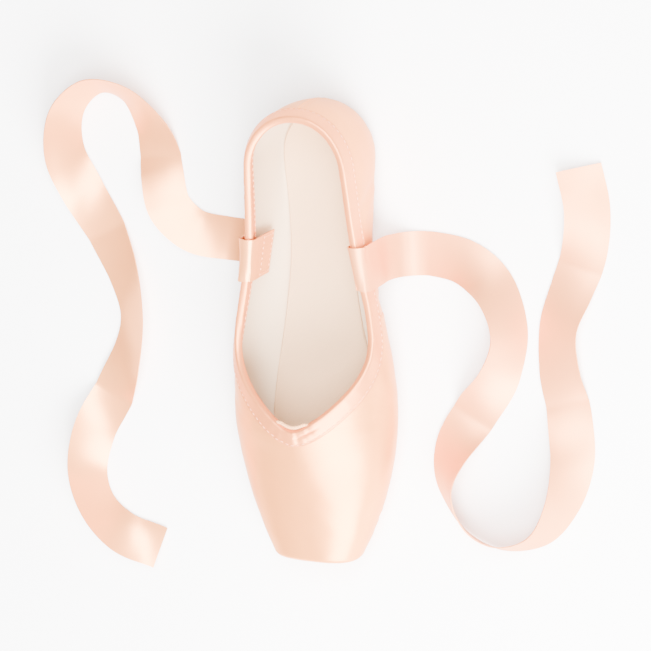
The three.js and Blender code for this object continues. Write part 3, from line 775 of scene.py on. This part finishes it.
def station_run(end, marks, spacing):
    """Stations along the shoe: even steps, and finer ones up to each place where an edge turns."""
    even = np.arange(0, end, spacing)
    close = np.concatenate([mark - CLOSE_REACH * np.linspace(0, 1, CLOSE_STEPS) ** 2 for mark in marks])
    seam = SIDE_SEAM + np.array([-1.2, -0.7, -0.3, -0.15, 0, 0.15, 0.3, 0.7, 1.2])
    back = np.array([0, 0.12, 0.25, 0.4, 0.6, 0.85, 1.1, 1.4])
    fixed = np.concatenate([back, close, seam, [end]])
    fixed = fixed[(fixed >= 0) & (fixed <= end)]
    free = [s for s in even if np.min(np.abs(fixed - s)) > spacing * 0.4]
    run = np.unique(np.round(np.concatenate([free, fixed]), 4))
    return run[np.concatenate([[True], np.diff(run) > LEAST_SPACING])]


rim_store = {}


def platform_point(turn, share, depth):
    """A point of the platform's rounded edge: turn is 0 where the side ends, 1 on the platform."""
    if share not in rim_store:
        start = SHOE_LENGTH - PLATFORM_EDGE
        for _ in range(SETTLINGS):
            start = SHOE_LENGTH - PLATFORM_EDGE * (1 - facing(start, share)[2][0, 0])
        rim_store[share] = facing(start, share)[2][0], skin(start, share)[0]
    out, side = rim_store[share]
    centre = side - out * PLATFORM_EDGE
    centre[0] = SHOE_LENGTH - MIDDLE - PLATFORM_EDGE
    tilt = math.acos(out[0]) * (1 - turn)
    across = unit(np.array([0, out[1], out[2]]))
    bulge = np.array([math.cos(tilt), 0, 0]) + across * math.sin(tilt)
    return centre + bulge * (PLATFORM_EDGE - depth)


upper_satin = satin_material("upper_satin", (0.8, 0.285, 0.082), (0.76, 0.245, 0.066), 0.36)
cotton_lining = plain_material("cotton_lining", (0.62, 0.46, 0.30), 0.9)

collar_line = np.concatenate([skin(s, collar_share(s)) for s in np.arange(0, THROAT + 0.1, 1.0)])


def edge_distance(points):
    """How far points lie from the collar's edge."""
    line = np.concatenate([collar_line, collar_line * (1, -1, 1)])
    return np.min(np.linalg.norm(points[:, None] - line[None], axis=2), axis=1)


def upper_loop(station, shares, point_of, side):
    """One loop of the upper's wall on one side, with its place in the cloth."""
    outer = rows_between(shares, BOTTOM_ROWS, SIDE_ROWS)
    inner = rows_between(shares, INNER_BOTTOM_ROWS, INNER_SIDE_ROWS)[::-1]
    girth = section(min(station, SHOE_LENGTH))[2][-1]
    outside, out = point_of(outer, True)
    outside[:, 1] *= side
    out[:, 1] *= side
    raised = relief(station, outer * girth, outside, edge_distance(outside))
    if shares[0] == 0:
        # The two sides meet here, so both take the same height
        first = outside[:1]
        raised[0] = relief(station, outer[:1] * girth, np.abs(first), edge_distance(first))[0]
    outside += out * raised[:, None]
    inside, _ = point_of(inner, False)
    inside[:, 1] *= side
    cloth = [(station * MM, share * girth * MM * side) for share in np.concatenate([outer, inner])]
    return np.concatenate([outside, inside]) * MM, cloth


SIDE_MARGIN = 1
RIM_STEPS = 8
RIM_LEAD = 3
PLATFORM_RINGS = (0.12, 0.3, 0.5, 0.75, 1)
PLATFORM_CLOTH = 0.012

upper = Cloth()
upper_finish = [0] * (BOTTOM_ROWS + SIDE_ROWS - 1) + [1] * (INNER_BOTTOM_ROWS + INNER_SIDE_ROWS + 1)
upper_end = SHOE_LENGTH - PLATFORM_EDGE - SIDE_MARGIN
upper_stations = station_run(upper_end, [THROAT, OPENING_TIP], spacing=1.15)
for side in (1, -1):
    loops, cloths = [], []
    for station in upper_stations:
        flat_share = section(station)[3] / section(station)[2][-1]
        low = sole_outline(station, LASTING_MARGIN) / section(station)[2][-1]
        shares = (low, flat_share, collar_share(station))

        def wall_point(share, outside, station=station):
            out = facing(station, share)[2]
            depth = outer_depth(station) if outside else inner_depth(station)
            return skin(station, share) - out * depth, out

        loop, cloth = upper_loop(station, shares, wall_point, side)
        loops.append(loop)
        cloths.append(cloth)
    flat_share = section(SHOE_LENGTH)[3] / section(SHOE_LENGTH)[2][-1]
    for turn in np.linspace(0, 1, RIM_STEPS):

        def rim_point(share, outside, turn=turn):
            depth = 0 if outside else inner_depth(SHOE_LENGTH)
            points = np.array([platform_point(turn, s, depth) for s in share])
            return points, np.array([platform_point(turn, s, depth - 1) for s in share]) - points

        station = SHOE_LENGTH - RIM_LEAD + RIM_LEAD * turn
        loop, cloth = upper_loop(station, (0, flat_share, 1), rim_point, side)
        loops.append(loop)
        cloths.append(cloth)
    split = BOTTOM_ROWS + SIDE_ROWS
    rim, rim_cloth = loops[-1], cloths[-1]
    faces_of = (rim[:split], rim[split:])
    centres = [np.array([(f[0, 0] + f[-1, 0]) / 2, 0, (f[0, 2] + f[-1, 2]) / 2]) for f in faces_of]
    goal = np.concatenate([np.tile(c, (len(f), 1)) for c, f in zip(centres, faces_of)])
    for inward in PLATFORM_RINGS:
        loops.append(rim + (goal - rim) * inward)
        cloths.append([(u + inward * PLATFORM_CLOTH, v * (1 - inward)) for u, v in rim_cloth])
    upper.loft(loops, cloths, upper_finish, flat_side=True)
upper_piece = upper.made("upper_satin_shell", [upper_satin, cotton_lining])
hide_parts("upper")

# Binding: a bias strip of satin folded over the collar's edge and stitched through both leaves.
# It is the casing of the drawstring, so it is rounder on top and puckers where the string pulls
# it, most of all at the throat.
BINDING_WIDTH = 7.0
BINDING_THICK = 0.85
BINDING_GAP = 0.12
BINDING_TOP = 1.65
LEAF_STEPS = 14
TOP_STEPS = 11
HEM_DROP = 6.45
HEM_ROLL = 0.2
STITCH_DROP = 5.7
STITCH_DENT = 0.16
STITCH_LIFT = 0.1
# Strength of the gathers all round, at the throat and at the sides, and the depth of the fold
GATHERS = 0.12
THROAT_GATHERS = 0.6
SIDE_GATHERS = 0.08
SIDE_GATHERS_AT = 118
FOLD_DEPTH = 0.75
FOLD_AT = 6.5
# The tape's ends are folded in, and thinner there
TAPE_END = 0.2
TAPE_END_SHARE = 0.7

binding_satin = satin_material("binding_satin", (0.78, 0.25, 0.082), (0.73, 0.205, 0.066), 0.38)


def going_down(station, share, heading, distance, steps):
    """Places reached down the surface from the collar's edge, square to the edge."""
    places = [(station, share)]
    heading = heading.copy()
    for _ in range(steps):
        along, up, _ = (v[0] for v in facing(station, share))
        aa, ab, bb = along @ along, along @ up, up @ up
        da, db = heading @ along, heading @ up
        scale = distance / steps / (aa * bb - ab * ab)
        station += (da * bb - db * ab) * scale
        share = min(share + (db * aa - da * ab) * scale, 1)
        places.append((station, share))
        out = facing(station, share)[2][0]
        heading = unit(heading - out * (heading @ out))
    return places


def collar_edge(stations):
    """Along the collar: station, share, point, normal, and the direction out of the wall."""
    shares = [collar_share(s) for s in stations]
    points = np.array([skin(s, a)[0] for s, a in zip(stations, shares)])
    mirrored = points * (1, -1, 1)
    line = np.concatenate([mirrored[1:2], points, mirrored[-2:-1]])
    edge = []
    for i, (station, share) in enumerate(zip(stations, shares)):
        out = facing(station, share)[2][0]
        up = np.cross(unit(line[i + 2] - line[i]), out)
        if i in (0, len(stations) - 1):
            up[1] = 0
        edge.append((station, share, points[i], out, unit(up)))
    return edge


collar = collar_edge(station_run(THROAT, [THROAT], spacing=1.25))
collar_points = np.array([place[2] for place in collar])
collar_run = np.concatenate([[0], np.cumsum(np.linalg.norm(np.diff(collar_points, axis=0), axis=1))])
collar_run = collar_run[-1] - collar_run


def pucker(run, drop):
    """Height of the gathers in the binding, by the signed way round from the throat."""
    strength = GATHERS + THROAT_GATHERS * math.exp(-((run / 20) ** 2))
    strength += SIDE_GATHERS * math.exp(-(((abs(run) - SIDE_GATHERS_AT) / 40) ** 2))
    strength *= eased(0, 6, collar_run[0] - abs(run))
    wave = noise.noise(Vector((run / 1.9, drop / 11, 3.1))) + 0.5 * noise.noise(Vector((run / 5, 0, 7)))
    fold = FOLD_DEPTH * math.exp(-(((drop - 2.4 + 0.06 * run) / 0.5) ** 2 + ((run - FOLD_AT) / 5.5) ** 4))
    return strength * wave * math.sin(math.pi * min(max((drop + 2) / 9, 0), 1)) ** 0.5 - fold


binding_drops = np.linspace(0, BINDING_WIDTH, LEAF_STEPS + 1)
binding_hem = HEM_ROLL * np.exp(-(((binding_drops - HEM_DROP) / 0.5) ** 2))
binding_hem -= STITCH_DENT * np.exp(-(((binding_drops - STITCH_DROP) / 0.32) ** 2))
binding_thin = np.where(binding_drops > BINDING_WIDTH - TAPE_END, TAPE_END_SHARE, 1)
leaves = []
for station, share, _, _, up in collar:
    places = going_down(station, share, -up, BINDING_WIDTH, LEAF_STEPS)
    surfaces = np.array([skin(s, a)[0] for s, a in places])
    normals = np.array([facing(s, a)[2][0] for s, a in places])
    leaves.append((surfaces, normals, np.array([inner_depth(s) for s, _ in places])[:, None]))


def binding_loop(number, side):
    """The folded tape's section at one place of the collar, and where its stitches pass."""
    station, _, point, out, up = collar[number]
    surfaces, normals, depths = leaves[number]
    run = collar_run[number]
    gathers = np.array([pucker(run * side, drop) for drop in binding_drops])
    thick = ((BINDING_THICK + binding_hem + gathers) * binding_thin)[:, None]
    inner_thick = ((BINDING_THICK + binding_hem + 0.4 * np.abs(gathers)) * binding_thin)[:, None]
    outer_far = surfaces + normals * (BINDING_GAP + thick)
    outer_near = surfaces + normals * BINDING_GAP
    inner_far = surfaces - normals * (depths + BINDING_GAP + inner_thick)
    inner_near = surfaces - normals * (depths + BINDING_GAP)
    wall = inner_depth(station)
    middle = point - out * wall / 2
    across = wall / 2 + BINDING_GAP + thick[0, 0]
    top = BINDING_TOP + 0.5 * gathers[0] - 0.35 * math.exp(-((run / 6.5) ** 2))
    over, under = [], []
    for turn in np.linspace(0, math.pi, TOP_STEPS + 2)[1:-1]:
        lean = math.cos(turn)
        level = up * top * math.sin(turn) ** 0.8
        over.append(middle + out * across * np.sign(lean) * abs(lean) ** 0.8 + level)
        under.append(middle + out * lean * wall / 2 + up * 0.2 * math.sin(turn))
    loop = np.concatenate([outer_far[::-1], over, inner_far, inner_near[::-1], under[::-1], outer_near])
    if station <= 0 or station >= THROAT:
        loop[:, 1] = 0
    around = np.concatenate([[0], np.cumsum(np.linalg.norm(np.diff(loop, axis=0), axis=1))])
    row = LEAF_STEPS * STITCH_DROP / BINDING_WIDTH
    low, part = int(row), row - int(row)
    marks = []
    for face, sign in ((outer_far, 1), (inner_far, -1)):
        place = face[low] * (1 - part) + face[low + 1] * part + sign * STITCH_LIFT * normals[low]
        marks.append((place * (1, side, 1) * MM, sign * normals[low] * (1, side, 1)))
    return loop * (1, side, 1) * MM, [(g * MM, run * side * MM) for g in around], marks


binding = Cloth()
stitch_rows = []
for side in (1, -1):
    made = [binding_loop(number, side) for number in range(len(collar))]
    binding.loft([m[0] for m in made], [m[1] for m in made], [0] * len(made[0][0]), flat_side=True)
    stitch_rows += [[m[2][face] for m in made] for face in (0, 1)]
binding_piece = binding.made("binding_satin_tape", [binding_satin])
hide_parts("binding")

thread = plain_material("stitching_thread", (0.86, 0.38, 0.19), 0.6)


def stitched(name, rows, length, spacing, width):
    """Stitches along rows of points and normals: each lies on its row with its face outwards."""
    points, edges, normals = [], [], []
    for row in rows:
        first = len(points)
        points += [tuple(p) for p, _ in row]
        normals += [tuple(n) for _, n in row]
        edges += [(first + i, first + i + 1) for i in range(len(row) - 1)]
    mesh = bpy.data.meshes.new(name)
    mesh.from_pydata(points, edges, [])
    layer = mesh.attributes.new("outward", "FLOAT_VECTOR", "POINT")
    layer.data.foreach_set("vector", np.array(normals, np.float32).ravel())
    seam = bpy.data.objects.new(name, mesh)
    bpy.context.scene.collection.objects.link(seam)
    tree = bpy.data.node_groups.new(name, "GeometryNodeTree")
    tree.interface.new_socket("Geometry", in_out="INPUT", socket_type="NodeSocketGeometry")
    sizes = {}
    for label, value in (("Spacing", spacing), ("Stitch Length", length), ("Stitch Width", width)):
        socket = tree.interface.new_socket(label, in_out="INPUT", socket_type="NodeSocketFloat")
        sizes[socket.identifier] = value
    tree.interface.new_socket("Geometry", in_out="OUTPUT", socket_type="NodeSocketGeometry")
    new = tree.nodes.new
    given, done = new("NodeGroupInput"), new("NodeGroupOutput")
    curve, spread = new("GeometryNodeMeshToCurve"), new("GeometryNodeResampleCurve")
    spread.mode = "LENGTH"
    shape = new("GeometryNodeMeshUVSphere")
    set_inputs(shape, {"Segments": 6, "Rings": 5, "Radius": 0.5})
    size = new("ShaderNodeCombineXYZ")
    tangent, outward = new("GeometryNodeInputTangent"), new("GeometryNodeInputNamedAttribute")
    outward.data_type = "FLOAT_VECTOR"
    set_inputs(outward, {"Name": "outward"})
    along, upright = new("FunctionNodeAlignRotationToVector"), new("FunctionNodeAlignRotationToVector")
    along.axis, upright.axis, upright.pivot_axis = "X", "Z", "X"
    copies, real = new("GeometryNodeInstanceOnPoints"), new("GeometryNodeRealizeInstances")
    finish = new("GeometryNodeSetMaterial")
    set_inputs(finish, {"Material": thread})
    link_nodes(
        tree,
        (given.outputs["Geometry"], curve.inputs["Mesh"]),
        (curve.outputs["Curve"], spread.inputs["Curve"]),
        (given.outputs["Spacing"], spread.inputs["Length"]),
        (spread.outputs["Curve"], copies.inputs["Points"]),
        (shape.outputs["Mesh"], copies.inputs["Instance"]),
        (given.outputs["Stitch Length"], size.inputs["X"]),
        (given.outputs["Stitch Width"], size.inputs["Y"]),
        (given.outputs["Stitch Width"], size.inputs["Z"]),
        (size.outputs["Vector"], copies.inputs["Scale"]),
        (tangent.outputs["Tangent"], along.inputs["Vector"]),
        (along.outputs["Rotation"], upright.inputs["Rotation"]),
        (outward.outputs["Attribute"], upright.inputs["Vector"]),
        (upright.outputs["Rotation"], copies.inputs["Rotation"]),
        (copies.outputs["Instances"], real.inputs["Geometry"]),
        (real.outputs["Geometry"], finish.inputs["Geometry"]),
        (finish.outputs["Geometry"], done.inputs["Geometry"]),
    )
    modifier = seam.modifiers.new("stitches", "NODES")
    modifier.node_group = tree
    for identifier, value in sizes.items():
        modifier[identifier] = value
    evaluated = seam.evaluated_get(bpy.context.evaluated_depsgraph_get())
    made = bpy.data.meshes.new_from_object(evaluated)
    seam.modifiers.clear()
    seam.data = made
    made.shade_smooth()
    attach(seam, "root")


stitched(
    "binding_stitches",
    stitch_rows,
    length=0.0019,
    spacing=0.0029,
    width=0.00042,
)

# Each ribbon is held by a square of stitches: two rows along it and two across
SEWN_FROM = 0.0015
SEWN_TO = 0.0125
SEWN_REACH = RIBBON_WIDTH / 2 - 0.0016

ribbon_rows = []
for middle, wide, face, length in ribbon_lines:
    outward = face * np.sign(face[0, 1]) * -np.sign(middle[0, 1])
    off = outward * (RIBBON_THICK / 2 + 0.0001)
    sewn = [i for i in range(len(length)) if SEWN_FROM < length[i] < SEWN_TO]
    across = np.linspace(-SEWN_REACH, SEWN_REACH, 12)
    square = [[(i, w) for i in sewn] for w in (-SEWN_REACH, SEWN_REACH)]
    square += [[(i, w) for w in across] for i in (sewn[0], sewn[-1])]
    ribbon_rows += [[(middle[i] + wide[i] * w + off[i], outward[i]) for i, w in row] for row in square]
stitched(
    "ribbon_stitches",
    ribbon_rows,
    length=0.0015,
    spacing=0.0026,
    width=0.0004,
)

# Drawstring: thin cotton cord of three twisted strands. It runs in the binding and comes out of
# it at the throat, where its short loop lies along the top of the binding.
CORD_RADIUS = 0.9
CORD_REACH = 12.0
# Level of the cord over the edge, its crest at the throat, and how deep its ends are sunk
CORD_LEVEL = 2.5
CORD_CREST = 0.35
CORD_SINK = 3.0
CORD_POINTS = 110
CORD_SMOOTHINGS = 6
CORD_TWIST = 3.4
CORD_STRANDS = 3
STRAND_RADIUS = 0.47
STRAND_SIDES = 9

cord_cotton = plain_material("cotton_cord", (0.8, 0.4, 0.17), 0.85)
cord_line = []
for station, _, point, out, up in collar:
    if point[0] > 0 and abs(point[1]) < CORD_REACH:
        sunk = CORD_SINK * eased(CORD_REACH - 5, CORD_REACH - 1, abs(point[1]))
        rise = CORD_LEVEL + CORD_CREST * math.exp(-((point[1] / 4) ** 2)) - sunk
        cord_line.append(point - out * inner_depth(station) / 2 + up * rise)
cord_line = np.array(cord_line)
cord_line = np.concatenate([cord_line, (cord_line * (1, -1, 1))[-2::-1]])
cord_length = np.concatenate([[0], np.cumsum(np.linalg.norm(np.diff(cord_line, axis=0), axis=1))])
cord_steps = np.linspace(0, cord_length[-1], CORD_POINTS)
cord_middle = np.stack([np.interp(cord_steps, cord_length, cord_line[:, k]) for k in range(3)], 1)
for _ in range(CORD_SMOOTHINGS):
    cord_middle[1:-1] = (cord_middle[:-2] + 2 * cord_middle[1:-1] + cord_middle[2:]) / 4
cord_run = unit(np.gradient(cord_middle, axis=0))
cord_side = unit(np.cross(cord_run, (0, 0, 1)))
cord_up = np.cross(cord_side, cord_run)
cord = Cloth()
turns = np.linspace(0, 2 * math.pi, STRAND_SIDES, endpoint=False)
for strand in range(CORD_STRANDS):
    phase = 2 * math.pi * (cord_steps / CORD_TWIST + strand / CORD_STRANDS)
    lean = cord_side * np.cos(phase)[:, None] + cord_up * np.sin(phase)[:, None]
    heart = cord_middle + lean * (CORD_RADIUS - STRAND_RADIUS)
    loops, cloths = [], []
    for i in range(len(heart)):
        ring = np.outer(np.cos(turns), cord_side[i]) + np.outer(np.sin(turns), cord_up[i])
        loops.append((heart[i] + ring * STRAND_RADIUS) * MM)
        cloths.append([(cord_steps[i] * MM, t / 2000) for t in turns])
    cord.loft(loops, cloths, [0] * STRAND_SIDES, caps=True)
cord_piece = cord.made("drawstring_cord", [cord_cotton], sharp=60)
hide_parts("drawstring")

# Outsole: one narrow piece of suede-finished leather, skived thin at its edges and sewn and glued
# on, with a few fine ribs across it behind its round tip.
SOLE_EDGE = 0.7
RIB_FIRST = 191.5
RIB_SPACING = 2.8
RIB_COUNT = 6
RIB_DEPTH = 0.4
RIB_WIDTH = 0.5
RIB_BOW = 0.004
RIB_MARGIN = 3.5
RIB_FULL = 6
RIB_SPREAD = (188, 208)
SOLE_SKIVE = 0.35
SOLE_ROWS = 26
EDGE_ROWS = 5
TOP_ROWS = 8


def suede_material(name, colour, dark, scale):
    """Leather with a short nap: mottled, dull, and a little darker where it is rubbed."""
    material = plain_material(name, colour, 0.88)
    tree = material.node_tree
    new = tree.nodes.new
    shader = tree.nodes["Principled BSDF"]
    set_inputs(shader, {"Specular IOR Level": 0.25})
    place = new("ShaderNodeTexCoord").outputs["Object"]
    blots, grain = new("ShaderNodeTexNoise"), new("ShaderNodeTexNoise")
    set_inputs(blots, {"Scale": scale, "Detail": 6, "Roughness": 0.65})
    set_inputs(grain, {"Scale": 2600, "Detail": 3})
    spread = new("ShaderNodeMapRange")
    set_inputs(spread, {"From Min": 0.38, "From Max": 0.68})
    tone = new("ShaderNodeMix")
    tone.data_type = "RGBA"
    set_inputs(tone, {"A": (*colour, 1), "B": (*dark, 1)})
    nap = new("ShaderNodeBump")
    set_inputs(nap, {"Strength": 0.35, "Distance": 0.0002})
    link_nodes(
        tree,
        (place, blots.inputs["Vector"]),
        (place, grain.inputs["Vector"]),
        (blots.outputs["Fac"], spread.inputs["Value"]),
        (spread.outputs["Result"], tone.inputs["Factor"]),
        (tone.outputs["Result"], shader.inputs["Base Color"]),
        (grain.outputs["Fac"], nap.inputs["Height"]),
        (nap.outputs["Normal"], shader.inputs["Normal"]),
    )
    return material


sole_suede = suede_material("sole_suede", (0.66, 0.36, 0.17), (0.52, 0.26, 0.115), 55)
# The sole's edge is a much darker brown: partly the leather's edge dye, partly painted shade for the dark
# shadow line along the sole's edge, where it meets the floor and the upper.
sole_edge_dye_and_shade = suede_material("sole_edge_dye_and_shade", (0.27, 0.13, 0.055), (0.2, 0.09, 0.038), 120)


def outsole_loop(station, side):
    """Half a section of the sole: its ribbed underside, rounded edge and flat top."""
    low = float(rise_of(station / SHOE_LENGTH))
    high = low + SOLE_THICKNESS
    full = sole_outline(station, 0)
    cut = sole_outline(station, SOLE_EDGE)
    reaches = np.linspace(0, 1, SOLE_ROWS) * cut
    ribs = np.zeros(SOLE_ROWS)
    for k in range(RIB_COUNT):
        line = RIB_FIRST + k * RIB_SPACING + RIB_BOW * reaches**2
        ribs += RIB_DEPTH * np.exp(-(((station - line) / RIB_WIDTH) ** 2))
    ribs *= eased(cut - RIB_MARGIN, cut - RIB_FULL, reaches) if cut > RIB_FULL else 0
    round_edge = np.linspace(0, math.pi / 2, EDGE_ROWS)[1:]
    edge_reach = cut + (full - cut) * np.sin(round_edge)
    edge_level = low + SOLE_EDGE * (1 - np.cos(round_edge))
    skive = max(full - SOLE_SKIVE, 0)
    reach = np.concatenate([reaches, edge_reach, [full], np.linspace(skive, 0, TOP_ROWS)])
    level = np.concatenate([low + ribs, edge_level, [high - SOLE_SKIVE], np.full(TOP_ROWS, high)])
    points = placed(station, reach, level) * (1, side, 1)
    return points * MM, [(station * MM, r * side * MM) for r in reach]


outsole = Cloth()
outsole_stations = station_run(SOLE_TIP, [SOLE_TIP], spacing=1.2)
outsole_stations = np.unique(np.concatenate([outsole_stations, np.arange(*RIB_SPREAD, RIB_WIDTH / 2)]))
# The rows round the sole's edge take the dark edge finish: edge dye with painted shade in it.
outsole_finish = [0] * (SOLE_ROWS - 1) + [1] * (EDGE_ROWS + 1) + [0] * TOP_ROWS
for side in (1, -1):
    made = [outsole_loop(station, side) for station in outsole_stations]
    outsole.loft([m[0] for m in made], [m[1] for m in made], outsole_finish, flat_side=True)
outsole_piece = outsole.made("outsole_leather", [sole_suede, sole_edge_dye_and_shade])
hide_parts("outsole")

# Insole: a board on the turned-in edge of the upper, covered in plain cotton drill, with a filler
# under it in the space between the lasted edges.
INSOLE_THICKNESS = 1.6
INSOLE_TIP = 218.0
INSOLE_NOSE = 20.0
INSOLE_MARGIN = 0.8
INSOLE_BEVEL = 0.5
INSOLE_SWELL = 0.16
INSOLE_ROWS = 24


def drill_material(name, colour):
    """Cotton drill: a fine slanting twill, quite matt."""
    material = plain_material(name, colour, 0.92)
    tree = material.node_tree
    place = tree.nodes.new("ShaderNodeTexCoord").outputs["UV"]
    twill = tree.nodes.new("ShaderNodeTexWave")
    twill.bands_direction = "DIAGONAL"
    set_inputs(twill, {"Scale": 420, "Distortion": 1.5})
    bump = tree.nodes.new("ShaderNodeBump")
    set_inputs(bump, {"Strength": 0.3, "Distance": 0.0002})
    link_nodes(
        tree,
        (place, twill.inputs["Vector"]),
        (twill.outputs["Fac"], bump.inputs["Height"]),
        (bump.outputs["Normal"], tree.nodes["Principled BSDF"].inputs["Normal"]),
    )
    return material


drill_cotton = drill_material("drill_cotton", (0.60, 0.38, 0.21))


def insole_loop(station, side):
    """Half a section of the insole: its filler, the board's underside, and the soft top."""
    seat = bottom_of(station) + float(inner_depth(station)) + GAP
    filler = sole_outline(station, LASTING_MARGIN + GAP)
    nose = INSOLE_TIP - INSOLE_NOSE
    share = min(max(station - nose, 0) / INSOLE_NOSE, 1)
    plate = (section(min(station, nose))[3] - INSOLE_MARGIN) * math.sqrt(1 - share**2)
    low = bottom_of(station) if filler > 0 else seat
    high = seat + INSOLE_THICKNESS
    reaches = np.linspace(max(plate - INSOLE_BEVEL, 0), 0, INSOLE_ROWS)
    reach = np.concatenate([[0, filler, filler, plate, plate], reaches])
    level = np.concatenate([[low, low, seat, seat, high - INSOLE_BEVEL], np.full(INSOLE_ROWS, high)])
    points = placed(station, reach, level) * (1, side, 1)
    top = points[-INSOLE_ROWS:]
    top[:, 2] += [INSOLE_SWELL * noise.noise(Vector(p) / 14) for p in top * (1, 1, 0)]
    return points * MM, [(station * MM, r * side * MM) for r in reach]


insole = Cloth()
insole_stations = station_run(INSOLE_TIP, [INSOLE_TIP, OPENING_TIP - GAP], spacing=1.4)
for side in (1, -1):
    made = [insole_loop(station, side) for station in insole_stations]
    insole.loft([m[0] for m in made], [m[1] for m in made], [0] * len(made[0][0]), flat_side=True)
insole_piece = insole.made("insole_cotton", [drill_cotton])
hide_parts("insole")
